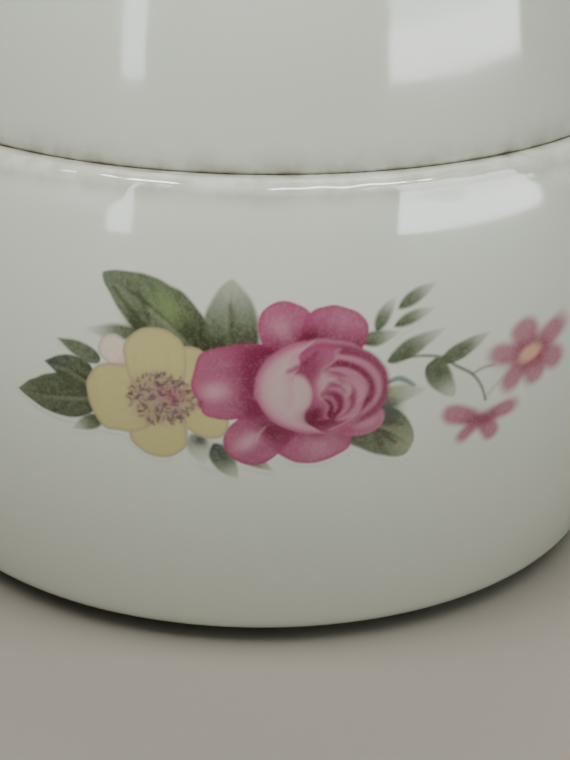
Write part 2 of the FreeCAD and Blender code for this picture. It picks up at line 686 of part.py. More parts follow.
def make_bow_loops():
    """One ribbon folded into a loop each side, pressed flat where the knot holds it."""
    body = new_body("puff_bow_loops")
    middle = size("bow_middle")
    half = size("knot_length") / 2
    ply = size("ribbon_thickness")
    outer = size("loop_height") / 2
    tip = half + size("loop_length") - outer
    tip_height = size("loops_base") + outer
    pinch = half + size("loop_root")

    # The outside: level underneath, rising from the knot to a round tip at each end.
    angle = tangent_angle((tip, tip_height), outer, (half, middle + ply)) + 2 * pi
    touch = (tip + outer * cos(angle), tip_height + outer * sin(angle))
    pen = Outline(new_sketch(body, "LoopOutline"), -tip, size("loops_base"))
    pen.line(tip, size("loops_base"))
    right = pen.arc((tip, tip_height), angle)
    upper_right = pen.line(half, middle + ply, smooth=True)
    over = pen.line(-half, middle + ply)
    pen.line(-touch[0], touch[1])
    left = pen.arc((-tip, tip_height), 3 * pi / 2)
    pen.close(smooth=True)
    reach = "( knot_length / 2 + loop_length - loop_height / 2 )"
    for arc, sign, side in ((right, "1 * ", "right"), (left, "-1 * ", "left")):
        pen.radius(arc, "loop_height / 2", side + "_radius")
        pen.across(arc, 3, sign + reach, side + "_tip")
    pen.up(right, 3, "loops_base + loop_height / 2", "lift")
    pen.across(upper_right, 2, "knot_length / 2", "upper_right")
    pen.up(upper_right, 2, "loops_top", "upper")
    pen.across(over, 2, "-1 * knot_length / 2", "upper_left")

    # The space inside each loop.
    inner = outer - ply
    angle = tangent_angle((tip, tip_height), inner, (pinch, middle)) + 2 * pi
    hole = Outline(pen.sketch, pinch, middle)
    hole.line(tip, middle, smooth=True)
    right_inside = hole.arc((tip, tip_height), angle)
    right_back = hole.line(pinch, middle, smooth=True)
    hole.close()
    hole = Outline(pen.sketch, -pinch, middle)
    hole.line(-tip - inner * cos(angle), tip_height + inner * sin(angle))
    left_inside = hole.arc((-tip, tip_height), 3 * pi / 2)
    left_back = hole.line(-pinch, middle, smooth=True)
    hole.close()
    for arc, back, tip_arc, sign, side in (
        (right_inside, right_back, right, "1 * ", "right"),
        (left_inside, left_back, left, "-1 * ", "left"),
    ):
        pen.radius(arc, "loop_height / 2 - ribbon_thickness", side + "_inside")
        pen.sketch.addConstraint(Sketcher.Constraint("Coincident", arc, 3, tip_arc, 3))
        pen.across(back, 2, sign + "( knot_length / 2 + loop_root )", side + "_pinch")
        pen.up(back, 2, "bow_middle", side + "_pinch_height")
    pad = body.newObject("PartDesign::Pad", "Loops")
    pad.Profile = pen.sketch
    pad.setExpression("Length", mm("ribbon_width"))
    pad.Midplane = True
    doc.recompute()

    # The ribbon is gathered to the waist inside the knot.
    sketch = new_sketch(body, "WaistCuts", "XY_Plane")
    wide = size("ribbon_width")
    out = half + size("gather_length")
    for side, sign, name in ((1, "1 * ", "far"), (-1, "-1 * ", "near")):
        waist = side * size("waist_width") / 2
        pen = Outline(sketch, -half, waist)
        floor = pen.line(half, waist)
        slope = pen.line(out, side * wide)
        top = pen.line(-out, side * wide)
        pen.line(-half, waist)
        pen.close()
        pen.across(floor, 1, "-1 * knot_length / 2", name + "_left")
        pen.across(floor, 2, "knot_length / 2", name + "_right")
        pen.up(floor, 1, sign + "waist_width / 2", name + "_waist")
        pen.across(slope, 2, "knot_length / 2 + gather_length", name + "_slope")
        pen.up(slope, 2, sign + "ribbon_width", name + "_top")
        pen.across(top, 2, "-1 * knot_length / 2 - gather_length", name + "_end")
    pocket = body.newObject("PartDesign::Pocket", "Waist")
    pocket.Profile = sketch
    pocket.Type = "ThroughAll"
    pocket.Midplane = True
    doc.recompute()
    return body


def make_bow_knot():
    """The band wrapped round the waist of the bow and its tails."""
    body = new_body("puff_bow_knot")
    wrap = size("knot_wrap")
    inside = size("knot_inside")
    ceiling = size("knot_ceiling")
    sketch = new_sketch(body, "KnotSection", "YZ_Plane")
    for name, grow, low, more in (
        ("inside", 0.0, "knot_floor", ""),
        ("outside", wrap, "knot_base", " + knot_wrap"),
    ):
        pen = Outline(sketch, -inside - grow, size(low))
        under = pen.line(inside + grow, size(low))
        pen.line(inside + grow, ceiling + grow)
        over = pen.line(-inside - grow, ceiling + grow)
        pen.line(-inside - grow, size(low))
        pen.close()
        pen.across(under, 1, "-1 * ( knot_inside" + more + " )", name + "_near")
        pen.across(under, 2, "knot_inside" + more, name + "_far")
        pen.up(under, 1, low, name + "_low")
        pen.up(over, 1, "knot_ceiling" + more, name + "_high")
    pad = body.newObject("PartDesign::Pad", "KnotBand")
    pad.Profile = sketch
    pad.setExpression("Length", mm("knot_length"))
    pad.Midplane = True
    doc.recompute()
    corners = [
        f"Edge{number}"
        for number, edge in enumerate(pad.Shape.Edges, 1)
        if edge.BoundBox.XLength > size("knot_length") / 2
        and abs(edge.BoundBox.Center.y) > inside + wrap / 2
    ]
    round_over(body, pad, corners, "knot_round", "KnotRound")
    return body


def make_bow_tails():
    """A strip of ribbon under the loops, bent in the middle, with notched ends."""
    body = new_body("puff_bow_tails")
    root = size("knot_length") / 2
    waist = size("waist_width") / 2
    half = size("ribbon_width") / 2
    length = size("tail_length")
    notch = size("tail_notch")
    lean = size("tail_angle") * pi / 180

    def swung(along, across, side):
        """A point of the right tail, or of its mirror image, which leaves the knot at an angle."""
        x = root + along * cos(lean) + across * sin(lean)
        return Vector(side * x, across * cos(lean) - along * sin(lean), 0)

    points = [
        Vector(-root, waist, 0),
        Vector(root, waist, 0),
        swung(length, half, 1),
        swung(length - notch, 0, 1),
        swung(length, -half, 1),
        Vector(root, -waist, 0),
        Vector(-root, -waist, 0),
        swung(length, -half, -1),
        swung(length - notch, 0, -1),
        swung(length, half, -1),
    ]
    sketch = new_sketch(body, "TailOutline", "XY_Plane")
    count = len(points)
    for here, there in zip(points, points[1:] + points[:1]):
        sketch.addGeometry(Part.LineSegment(here, there), False)
    for index in range(count):
        after = (index + 1) % count
        sketch.addConstraint(Sketcher.Constraint("Coincident", index, 2, after, 1))
    pen = Outline(sketch, 0, 0)
    cosine, sine = "cos( tail_angle * 1 deg )", "sin( tail_angle * 1 deg )"
    places = (
        (2, "tail_length", "ribbon_width / 2"),
        (3, "( tail_length - tail_notch )", "0 * ribbon_width"),
        (4, "tail_length", "-1 * ribbon_width / 2"),
    )
    for index, far, off in places:
        x = f"knot_length / 2 + {far} * {cosine} + {off} * {sine}"
        y = f"{off} * {cosine} - {far} * {sine}"
        pen.across(index, 1, x, f"right_{index}_x")
        pen.up(index, 1, y, f"right_{index}_y")
    for index, sign, name in ((1, "1 * ", "high"), (5, "-1 * ", "low")):
        pen.across(index, 1, "knot_length / 2", "root_" + name)
        pen.up(index, 1, sign + "waist_width / 2", "waist_" + name)
    for index in range(1, 6):
        mirror = (count + 1 - index) % count
        sketch.addConstraint(Sketcher.Constraint("Symmetric", index, 1, mirror, 1, -2))
    pad = body.newObject("PartDesign::Pad", "Tails")
    pad.Profile = sketch
    pad.setExpression("Length", mm("ribbon_thickness"))
    doc.recompute()
    body.Placement = Placement(Vector(0, 0, size("tails_base")), Rotation())
    return body


# ---------------------------------------------------------------- build, check and write

parts = [
    make_bowl(),
    make_lid(),
    make_lid_knob(),
    make_powder(),
    make_puff_pile(),
    make_puff_wadding(),
    make_puff_satin_back(),
    make_puff_piping(),
    make_bow_loops(),
    make_bow_knot(),
    make_bow_tails(),
]
doc.recompute()

for item in doc.Objects:
    if "Invalid" in item.State or "Error" in item.State:
        raise RuntimeError(f"{item.Name} failed: {item.State}")
    if item.isDerivedFrom("Sketcher::SketchObject") and not item.FullyConstrained:
        raise RuntimeError(f"{item.Name} is not fully constrained")
for part in parts:
    if part.Shape.isNull() or not part.Shape.isValid() or not part.Shape.Solids:
        raise RuntimeError(f"{part.Label} has no valid solid")

os.makedirs("parts", exist_ok=True)
for part in parts:
    part.Shape.exportStep(os.path.join("parts", part.Label + ".step"))
    print(f"{part.Label}: {part.Shape.Volume / 1000:.2f} cm3, {len(part.Shape.Solids)} solid(s)")
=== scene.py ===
from math import acos, asin, atan2, cos, exp, hypot, pi, radians, sin, sqrt, tau

import bpy
import numpy as np
from mathutils import Matrix, Vector


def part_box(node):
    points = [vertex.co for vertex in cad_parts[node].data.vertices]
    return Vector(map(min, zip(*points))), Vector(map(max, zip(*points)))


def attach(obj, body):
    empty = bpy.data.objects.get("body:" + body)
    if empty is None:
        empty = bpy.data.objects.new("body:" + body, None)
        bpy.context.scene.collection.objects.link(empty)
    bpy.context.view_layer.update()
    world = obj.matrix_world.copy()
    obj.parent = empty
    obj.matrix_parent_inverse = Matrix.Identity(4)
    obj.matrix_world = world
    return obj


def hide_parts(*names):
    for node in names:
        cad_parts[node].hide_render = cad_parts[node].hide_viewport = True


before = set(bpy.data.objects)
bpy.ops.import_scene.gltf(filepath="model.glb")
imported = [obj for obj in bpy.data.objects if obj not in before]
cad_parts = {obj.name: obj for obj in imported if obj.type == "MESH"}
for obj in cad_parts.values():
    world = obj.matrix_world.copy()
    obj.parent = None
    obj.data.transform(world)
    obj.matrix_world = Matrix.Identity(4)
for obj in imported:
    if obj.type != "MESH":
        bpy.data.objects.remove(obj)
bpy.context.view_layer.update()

mm = 0.001                      # every size below is in millimetres, and Blender works in metres
print("frame loaded with", len(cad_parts), "nodes")


def linear(hexColour):          # an sRGB hex colour as the linear values that Blender works in
    parts = [int(hexColour[i:i + 2], 16) / 255 for i in (1, 3, 5)]
    return tuple(p / 12.92 if p <= 0.04045 else ((p + 0.055) / 1.055) ** 2.4 for p in parts)


def paint(hexColour):           # the same with the alpha that a node's colour socket wants
    return (*linear(hexColour), 1.0)


def addNode(tree, kind, settings, links=None):
    # settings are the node's own options, or else its sockets by name or number
    node = tree.nodes.new("ShaderNode" + kind)
    for name, value in settings.items():
        if isinstance(name, str) and hasattr(node, name):
            setattr(node, name, value)
        else:
            node.inputs[name].default_value = value
    for name, source in (links or {}).items():
        tree.links.new(source, node.inputs[name])
    return node


def perMetre(sizeMm):           # a noise node's scale for a grain of this size
    return 1 / (sizeMm * mm)


def newMaterial(name):          # an empty material with its shader and output
    material = bpy.data.materials.new(name)
    material.use_nodes = True
    tree = material.node_tree
    tree.nodes.clear()
    shader = addNode(tree, "BsdfPrincipled", {})
    addNode(tree, "OutputMaterial", {}, {"Surface": shader.outputs["BSDF"]})
    return material, tree, shader


def newPiece(name, points, faces, materials):
    mesh = bpy.data.meshes.new(name)
    mesh.from_pydata(points, [], faces)
    mesh.validate()
    for material in materials:
        mesh.materials.append(material)
    mesh.polygons.foreach_set("use_smooth", [True] * len(mesh.polygons))
    piece = bpy.data.objects.new(name, mesh)
    bpy.context.scene.collection.objects.link(piece)
    return piece


def heightsAndRadii(piece):             # of the mesh's corner points, in mm
    points = np.array([v.co[:] for v in piece.data.vertices]) / mm
    return points[:, 2], np.hypot(points[:, 0], points[:, 1])


def joined(first, second):
    with bpy.context.temp_override(active_object=first, selected_editable_objects=[first, second]):
        bpy.ops.object.join()
    return first


def setFloats(piece, name, values):     # one number for each corner point of the mesh
    attribute = piece.data.attributes.new(name, "FLOAT", "POINT")
    attribute.data.foreach_set("value", np.asarray(values, np.float32))


def arcTo(outline, centre, angle, step=1.2, clockwise=False):
    # adds a round stretch from the outline's last point to this angle about the centre
    start = atan2(outline[-1][1] - centre[1], outline[-1][0] - centre[0])
    radius = hypot(outline[-1][0] - centre[0], outline[-1][1] - centre[1])
    turn = (angle - start) % tau
    if clockwise:
        turn -= tau
    count = max(3, int(abs(turn) * radius / step) + 1)
    for i in range(1, count + 1):
        a = start + turn * i / count
        outline.append((centre[0] + radius * cos(a), centre[1] + radius * sin(a)))


def lineTo(outline, radius, height, step=1.5):
    r0, z0 = outline[-1]
    count = max(1, int(hypot(radius - r0, height - z0) / step))
    for i in range(1, count + 1):
        outline.append((r0 + (radius - r0) * i / count, z0 + (height - z0) * i / count))


def turned(name, outline, materials, segments=360, wobble=None):
    # turns an outline of (radius, height) about the axis: the outside runs up, the inside down
    outline = np.array(outline, float)
    angles = np.arange(segments) * tau / segments
    ringRows, points = [], []
    for r, z in outline:
        if r < 1e-6:
            ringRows.append([len(points)] * segments)
            points.append((0.0, 0.0, z * mm))
            continue
        radius, height = np.full(segments, r), np.full(segments, z)
        if wobble:
            radius, height = wobble(angles, radius, height)
        ringRows.append(list(range(len(points), len(points) + segments)))
        points += list(zip(radius * np.sin(angles) * mm, -radius * np.cos(angles) * mm, height * mm))
    faces = []
    for low, high in zip(ringRows, ringRows[1:]):
        for j in range(segments):
            k = (j + 1) % segments
            corners = [low[j], low[k], high[k], high[j]]
            face = [c for n, c in enumerate(corners) if c != corners[n - 1]]
            if len(face) > 2:
                faces.append(face)
    return newPiece(name, [tuple(map(float, p)) for p in points], faces, materials)


# a close, slightly raised view of the jar's front
view = {
    "lens": 104.2,              # long lens for the close crop, on a 36 mm frame
    "distance": 312.0,
    "elevation": 22.9,
    "roll": 0.86,
    "aimHeight": 16.5,
    "aimAcross": 3.8,
}
cameraData = bpy.data.cameras.new("camera")
cameraData.lens = view["lens"]
cameraData.sensor_width = 36
cameraData.clip_start = 0.01
camera = bpy.data.objects.new("camera", cameraData)
bpy.context.scene.collection.objects.link(camera)
tilt = radians(view["elevation"])
aim = Vector((view["aimAcross"], 0, view["aimHeight"])) * mm
camera.location = aim + Vector((0, -cos(tilt), sin(tilt))) * view["distance"] * mm
camera.rotation_euler = (
    Matrix.Rotation(pi / 2 - tilt, 3, "X") @ Matrix.Rotation(radians(view["roll"]), 3, "Z")
).to_euler()
bpy.context.scene.camera = camera
print("camera set")


# a pale table and soft window light
room = {
    "table": "#867f75",
    "tableSize": 5.0,           # metres
    "ambient": "#e6e8e6",
    "ambientStrength": 0.06,
    "pivot": 0.075,             # the height in metres that the panels face
    # each panel: azimuth to the right of the camera, half its width, its low and high elevation (all
    # in degrees), distance in metres, brightness, colour, and what it is for
    "panels": {
        "windowRightSill": (57, 21, -5.0, 3.0, 0.75, 16.0, "#f4fbf8", "gloss"),
        "windowRight": (57, 21, 3.0, 46.0, 0.75, 10.4, "#f1faf6", "gloss"),
        "windowLeft": (-34.6, 3.6, -4.5, 44.0, 0.75, 11.4, "#eef8f6", "gloss"),
        "skylightLeft": (-54, 10, 58, 66, 0.75, 50.0, "#f6fbf6", "gloss"),
        "skylightRight": (42, 16, 58, 66, 0.75, 44.0, "#f6fbf6", "gloss"),
        "ceilingSoftbox": (-6, 34, 48, 80, 0.60, 8.2, "#fbfdf9", "light"),
        "sideSoftbox": (-50, 26, 20, 56, 1.6, 0.5, "#fbfbf8", "light"),
        "farWindow": (168, 16, 2, 40, 1.2, 3.0, "#f7f8f6", "gloss"),
        "farSoftbox": (180, 34, 20, 64, 1.4, 1.6, "#fbfaf5", "light"),
    },
}


def addPanel(name, azimuth, halfWidth, low, high, distance, brightness, hexColour, use):
    # a flat panel that faces the jar; glossy panels only show as reflections, soft ones only light
    middle = radians((low + high) / 2)
    data = bpy.data.lights.new(name, "AREA")
    data.shape = "RECTANGLE"
    data.size = 2 * distance * np.tan(radians(halfWidth))
    data.size_y = 2 * distance * np.tan(radians((high - low) / 2))
    data.energy = brightness * pi * data.size * data.size_y
    data.color = linear(hexColour)
    panel = bpy.data.objects.new(name, data)
    bpy.context.scene.collection.objects.link(panel)
    turn = radians(azimuth)
    away = Vector((sin(turn) * cos(middle), -cos(turn) * cos(middle), sin(middle)))
    panel.location = away * distance + Vector((0, 0, room["pivot"]))
    panel.rotation_euler = away.to_track_quat("Z", "Y").to_euler()
    panel.visible_diffuse = use == "light"
    panel.visible_glossy = use == "gloss"


for panelName, settings in room["panels"].items():
    addPanel(panelName, *settings)

world = bpy.data.worlds.new("room")
bpy.context.scene.world = world
world.use_nodes = True
background = world.node_tree.nodes["Background"]
background.inputs["Color"].default_value = paint(room["ambient"])
background.inputs["Strength"].default_value = room["ambientStrength"]

tableMaterial, tree, shader = newMaterial("mattPaintedTable")   # sprayed matt paint: an even field
shader.inputs["Base Color"].default_value = paint(room["table"])
shader.inputs["Roughness"].default_value = 0.7
half = room["tableSize"] / 2
table = newPiece(
    "table", [(-half, -half, 0), (half, -half, 0), (half, half, 0), (-half, half, 0)], [(0, 1, 2, 3)],
    [tableMaterial],
)
print("room lit")


# porcelain dipped in a clear glaze and fired, so gloss lies over a soft milky white
glazeLook = {
    "body": "#e0e6dc",          # greenish white body seen through the glaze
    "pooled": "#d8e0d2",        # a shade greener where the glaze is thick
    "warm": "#e4e5d8",          # and warmer where it is thin
    "edge": "#7e7464",          # iron brown where the glaze drew back from an edge, and the painted shade under the lid's edge and on the ledge
    "speck": "#8d8572",
    "roughness": 0.085,
    "ior": 1.52,
    "poolSize": 22.0,           # mm across a patch of thicker glaze
    "waveSize": 17.0,           # mm from crest to crest of the slow waves left by dipping
    "waveHeight": 0.075,
    "peelSize": 2.4,            # mm across the fine dimples
    "peelHeight": 0.0085,
    "speckSpacing": 6.5,        # mm between the few iron specks
    "speckSize": 0.17,
}


def glaze(name, printed=False):
    look = glazeLook
    material, tree, shader = newMaterial(name)
    place = addNode(tree, "TexCoord", {}).outputs["Object"]
    pools = addNode(
        tree, "TexNoise", {"Scale": perMetre(look["poolSize"]), "Detail": 2.0}, {"Vector": place}
    )
    tone = addNode(
        tree, "Mix", {"data_type": "RGBA", 6: paint(look["warm"]), 7: paint(look["pooled"])},
        {0: pools.outputs["Fac"]},
    )
    ground = addNode(
        tree, "Mix", {"data_type": "RGBA", 0: 0.5, 6: paint(look["body"])}, {7: tone.outputs[2]}
    ).outputs[2]

    # a few specks of iron in the clay: only cells whose random shade is high keep theirs
    cells = addNode(
        tree, "TexVoronoi", {"Scale": perMetre(look["speckSpacing"])}, {"Vector": place}
    )
    near = addNode(
        tree, "MapRange",
        {1: look["speckSize"] / look["speckSpacing"], 2: 0.4 * look["speckSize"] / look["speckSpacing"],
         3: 0.0, 4: 1.0},
        {0: cells.outputs["Distance"]},
    )
    pick = addNode(tree, "SeparateColor", {}, {0: cells.outputs["Color"]})
    keep = addNode(tree, "MapRange", {1: 0.62, 2: 0.95, 3: 0.0, 4: 0.75}, {0: pick.outputs[0]})
    speckled = addNode(
        tree, "Math", {"operation": "MULTIPLY"}, {0: near.outputs[0], 1: keep.outputs[0]}
    )
    ground = addNode(
        tree, "Mix", {"data_type": "RGBA", 7: paint(look["speck"])},
        {0: speckled.outputs[0], 6: ground},
    ).outputs[2]

    if printed:                 # the fired print lies in the glaze and takes the same gloss
        ink = addNode(tree, "Attribute", {"attribute_name": "ink"})
        grain = addNode(
            tree, "TexNoise", {"Scale": perMetre(0.35), "Detail": 3.0}, {"Vector": place}
        )
        cover = addNode(
            tree, "MapRange", {1: 0.25, 2: 0.75, 3: 0.965, 4: 1.05}, {0: grain.outputs["Fac"]}
        )
        cover = addNode(
            tree, "Math", {"operation": "MULTIPLY", "use_clamp": True},
            {0: cover.outputs[0], 1: ink.outputs["Alpha"]},
        )
        ground = addNode(
            tree, "Mix", {"data_type": "RGBA"},
            {0: cover.outputs[0], 6: ground, 7: ink.outputs["Color"]},
        ).outputs[2]
    else:                       # brown edges, broken up as they are where glaze draws back, plus painted shade where lid and ledge meet
        edge = addNode(tree, "Attribute", {"attribute_name": "thinEdgeAndShade"})
        broken = addNode(
            tree, "TexNoise", {"Scale": perMetre(3.0), "Detail": 4.0}, {"Vector": place}
        )
        broken = addNode(
            tree, "MapRange", {1: 0.35, 2: 0.7, 3: 0.45, 4: 1.0}, {0: broken.outputs["Fac"]}
        )
        amount = addNode(
            tree, "Math", {"operation": "MULTIPLY"}, {0: edge.outputs["Fac"], 1: broken.outputs[0]}
        )
        ground = addNode(
            tree, "Mix", {"data_type": "RGBA", 7: paint(look["edge"])},
            {0: amount.outputs[0], 6: ground},
        ).outputs[2]
    tree.links.new(ground, shader.inputs["Base Color"])

    smear = addNode(tree, "TexNoise", {"Scale": perMetre(9.0), "Detail": 3.0}, {"Vector": place})
    gloss = addNode(
        tree, "MapRange",
        {1: 0.3, 2: 0.7, 3: look["roughness"] * 0.75, 4: look["roughness"] * 1.5},
        {0: smear.outputs["Fac"]},
    )
    tree.links.new(gloss.outputs[0], shader.inputs["Roughness"])
    shader.inputs["IOR"].default_value = look["ior"]

    waves = addNode(
        tree, "TexNoise", {"Scale": perMetre(look["waveSize"]), "Detail": 1.5}, {"Vector": place}
    )
    slow = addNode(
        tree, "Bump", {"Strength": 1.0, "Distance": look["waveHeight"] * mm},
        {"Height": waves.outputs["Fac"]},
    )
    peel = addNode(
        tree, "TexNoise", {"Scale": perMetre(look["peelSize"]), "Detail": 2.0}, {"Vector": place}
    )
    fine = addNode(
        tree, "Bump", {"Strength": 1.0, "Distance": look["peelHeight"] * mm},
        {"Height": peel.outputs["Fac"], "Normal": slow.outputs[0]},
    )
    tree.links.new(fine.outputs[0], shader.inputs["Normal"])
    return material


def biscuit():                  # the foot ring is wiped clean of glaze, so it fires to a dry matt white
    material, tree, shader = newMaterial("unglazedPorcelain")
    place = addNode(tree, "TexCoord", {}).outputs["Object"]
    dust = addNode(tree, "TexNoise", {"Scale": perMetre(1.1), "Detail": 5.0}, {"Vector": place})
    tone = addNode(
        tree, "Mix", {"data_type": "RGBA", 6: paint("#d9d3c4"), 7: paint("#c9bfa9")},
        {0: dust.outputs["Fac"]},
    )
    tree.links.new(tone.outputs[2], shader.inputs["Base Color"])
    shader.inputs["Roughness"].default_value = 0.85
    grit = addNode(tree, "TexNoise", {"Scale": perMetre(0.4), "Detail": 3.0}, {"Vector": place})
    rough = addNode(
        tree, "Bump", {"Strength": 1.0, "Distance": 0.03 * mm}, {"Height": grit.outputs["Fac"]}
    )
    tree.links.new(rough.outputs[0], shader.inputs["Normal"])
    return material


whiteGlaze = glaze("clearGlazedPorcelain")
printGlaze = glaze("firedFlowerPrint", printed=True)
bareClay = biscuit()
print("glaze mixed")


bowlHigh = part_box("bowl")[1]
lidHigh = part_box("lid")[1]
bowlShape = {             # sizes in mm
    "seat": bowlHigh.z / mm,    # height of the ledge that the lid rests on
    "lidEdge": lidHigh.x / mm,  # where the lid's edge stands on it
    "belly": bowlHigh.x / mm, "bellyHeight": 41.0,
    "lowerArc": 90.0, "upperArc": 110.0, "shoulderArc": 40.0, "shoulderDrop": 6.6,
    "heelArc": 5.5, "heelGap": 1.2,
    "footRadius": 40.0, "footWidth": 3.5, "footRecess": 2.2, "footRound": 0.5,
    "wall": 4.0, "floor": 6.6, "floorCorner": 8.0,
    "mouth": 46.6, "mouthDepth": 4.0, "mouthRound": 0.8, "galleryDepth": 7.0,
    "ledgeDrop": 0.4,           # fall of the ledge from the lid's edge to the rim
    "rimRound": 1.5,
    "rimWobble": 0.2,           # how far the rim strays from a true circle
    # how strongly the body shows brown through thin glaze, and over how many mm; the ledge and lid-line
    # values are mostly painted shade of the lid over the ledge
    "mouthStain": (1.0, 0.7), "ledgeShadeAndStain": (0.62, 3.0), "lidLineStainAndShade": (0.3, 0.5),
    "footStain": (0.5, 0.35),
}


def wallArcs(inset, floorHeight, corner):
    # centres of the wall's lower, upper and shoulder arcs and of the heel, and where they meet
    s = bowlShape
    lower = (s["belly"] - s["lowerArc"], s["bellyHeight"])
    upper = (s["belly"] - s["upperArc"], s["bellyHeight"])
    height = floorHeight + corner
    reach = s["lowerArc"] - inset - corner
    heel = (lower[0] + sqrt(reach ** 2 - (lower[1] - height) ** 2), height)
    heelEnd = atan2(heel[1] - lower[1], heel[0] - lower[0])
    bend = asin((s["seat"] - s["shoulderDrop"] - upper[1]) / s["upperArc"])
    reach = s["upperArc"] - s["shoulderArc"]
    shoulder = (upper[0] + reach * cos(bend), upper[1] + reach * sin(bend))
    return lower, upper, shoulder, heel, heelEnd, bend


def outsideRadius(height):      # of the bowl's wall, at heights in mm between the heel and the rim
    s = bowlShape
    lower, upper, shoulder = wallArcs(0.0, s["heelGap"], s["heelArc"])[:3]
    z = np.asarray(height, float)
    low = lower[0] + np.sqrt(np.maximum(s["lowerArc"] ** 2 - (z - lower[1]) ** 2, 0))
    high = upper[0] + np.sqrt(np.maximum(s["upperArc"] ** 2 - (z - upper[1]) ** 2, 0))
    top = shoulder[0] + np.sqrt(np.maximum(s["shoulderArc"] ** 2 - (z - shoulder[1]) ** 2, 0))
    return np.where(z < s["bellyHeight"], low, np.where(z < s["seat"] - s["shoulderDrop"], high, top))


def bowlOutline():
    s = bowlShape
    lower, upper, shoulder, heel, heelEnd, bend = wallArcs(0.0, s["heelGap"], s["heelArc"])
    ring = s["footRadius"] - s["footWidth"]
    r = s["footRound"]
    line = [(0.0, s["footRecess"])]
    lineTo(line, ring, s["footRecess"], 4.0)
    lineTo(line, ring, r)
    arcTo(line, (ring + r, r), 3 * pi / 2, 0.15)
    lineTo(line, s["footRadius"] - r, 0.0)
    arcTo(line, (s["footRadius"] - r, r), 0.0, 0.15)
    lineTo(line, s["footRadius"], s["heelGap"])
    lineTo(line, heel[0], s["heelGap"], 0.8)
    arcTo(line, heel, heelEnd, 0.4)
    arcTo(line, lower, 0.0)
    arcTo(line, upper, bend)
    # the rim's round runs from the shoulder's curve to the slightly sloping ledge
    rimTop = s["seat"] - s["ledgeDrop"]
    rimRadius = float(outsideRadius(rimTop))
    q = s["rimRound"]
    slope = atan2(s["ledgeDrop"], rimRadius - s["lidEdge"])
    centre = (rimRadius - q * 1.12, rimTop - q * 0.98)
    leave = asin((centre[1] + q * 0.2 - shoulder[1]) / s["shoulderArc"])
    arcTo(line, shoulder, leave, 0.5)
    arcTo(line, centre, pi / 2 - slope, 0.15)
    lineTo(line, s["lidEdge"], s["seat"], 0.4)
    lineTo(line, s["mouth"] + s["mouthRound"], s["seat"], 0.8)
    arcTo(line, (s["mouth"] + s["mouthRound"], s["seat"] - s["mouthRound"]), pi, 0.2)
    lineTo(line, s["mouth"], s["seat"] - s["mouthDepth"])
    # inside wall, from the gallery down to the floor
    lower, upper, shoulder, heel, heelEnd, bend = wallArcs(s["wall"], s["floor"], s["floorCorner"])
    gallery = asin((s["seat"] - s["galleryDepth"] - upper[1]) / (s["upperArc"] - s["wall"]))
    reach = s["upperArc"] - s["wall"]
    lineTo(line, upper[0] + reach * cos(gallery), upper[1] + reach * sin(gallery))
    arcTo(line, upper, 0.0, 2.0, clockwise=True)
    arcTo(line, lower, heelEnd, 2.0, clockwise=True)
    arcTo(line, heel, -pi / 2, 0.8, clockwise=True)
    lineTo(line, 0.0, s["floor"], 4.0)
    return line


def rimWobble(angles, radius, height):
    # hand-trimmed rims are never quite true: slow waves that fade out below the rim and at the seat
    s = bowlShape
    fade = np.exp(-((height - s["seat"] + 1.0) / 1.6) ** 2)
    fade = fade * np.clip((radius - s["lidEdge"] - 0.6) / 1.5, 0, 1)
    waves = 0.5 * np.sin(5 * angles + 0.4)
    for share, count, start in ((0.35, 11, 2.1), (0.3, 23, 1.0), (0.25, 41, 0.3), (0.2, 67, 0.0)):
        waves = waves + share * np.sin(count * angles + start)
    stray = s["rimWobble"] * fade
    return radius + stray * waves, height - stray * np.roll(waves, 9) * 0.8


bowl = turned("bowlPorcelain", bowlOutline(), [whiteGlaze, bareClay], wobble=rimWobble)
heights, radii = heightsAndRadii(bowl)
shape = bowlShape
strength, spread = shape["mouthStain"]
mouthEdge = strength * np.exp(-((radii - shape["mouth"] - 0.3) / spread) ** 2)
mouthEdge *= heights > shape["seat"] - 1.5
# painted shade: the ledge and the line under the lid's edge are darkened as if the lid's shadow falls
# on them, with a warm glaze tint
strength, spread = shape["lidLineStainAndShade"]
ledge = strength * np.exp(-((radii - shape["lidEdge"]) / spread) ** 2)
strength, spread = shape["ledgeShadeAndStain"]
ledge = (ledge + strength) * np.clip((heights - shape["seat"] + spread) / (0.8 * spread), 0, 1)
ledge *= (radii > shape["mouth"]) * (1 - 0.2 * np.clip((radii - shape["lidEdge"] - 1.0) / 2.0, 0, 1))
strength, spread = shape["footStain"]
footEdge = strength * np.exp(-((heights - shape["heelGap"]) / spread) ** 2)
footEdge *= radii < shape["footRadius"] + 0.8
setFloats(bowl, "thinEdgeAndShade", np.clip(mouthEdge + ledge + footEdge, 0, 1))
for face in bowl.data.polygons:
    low = max(bowl.data.vertices[i].co.z for i in face.vertices) / mm
    if low < bowlShape["footRound"] + 0.05:
        face.material_index = 1
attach(bowl, "jar")
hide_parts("bowl")
print("bowl turned")


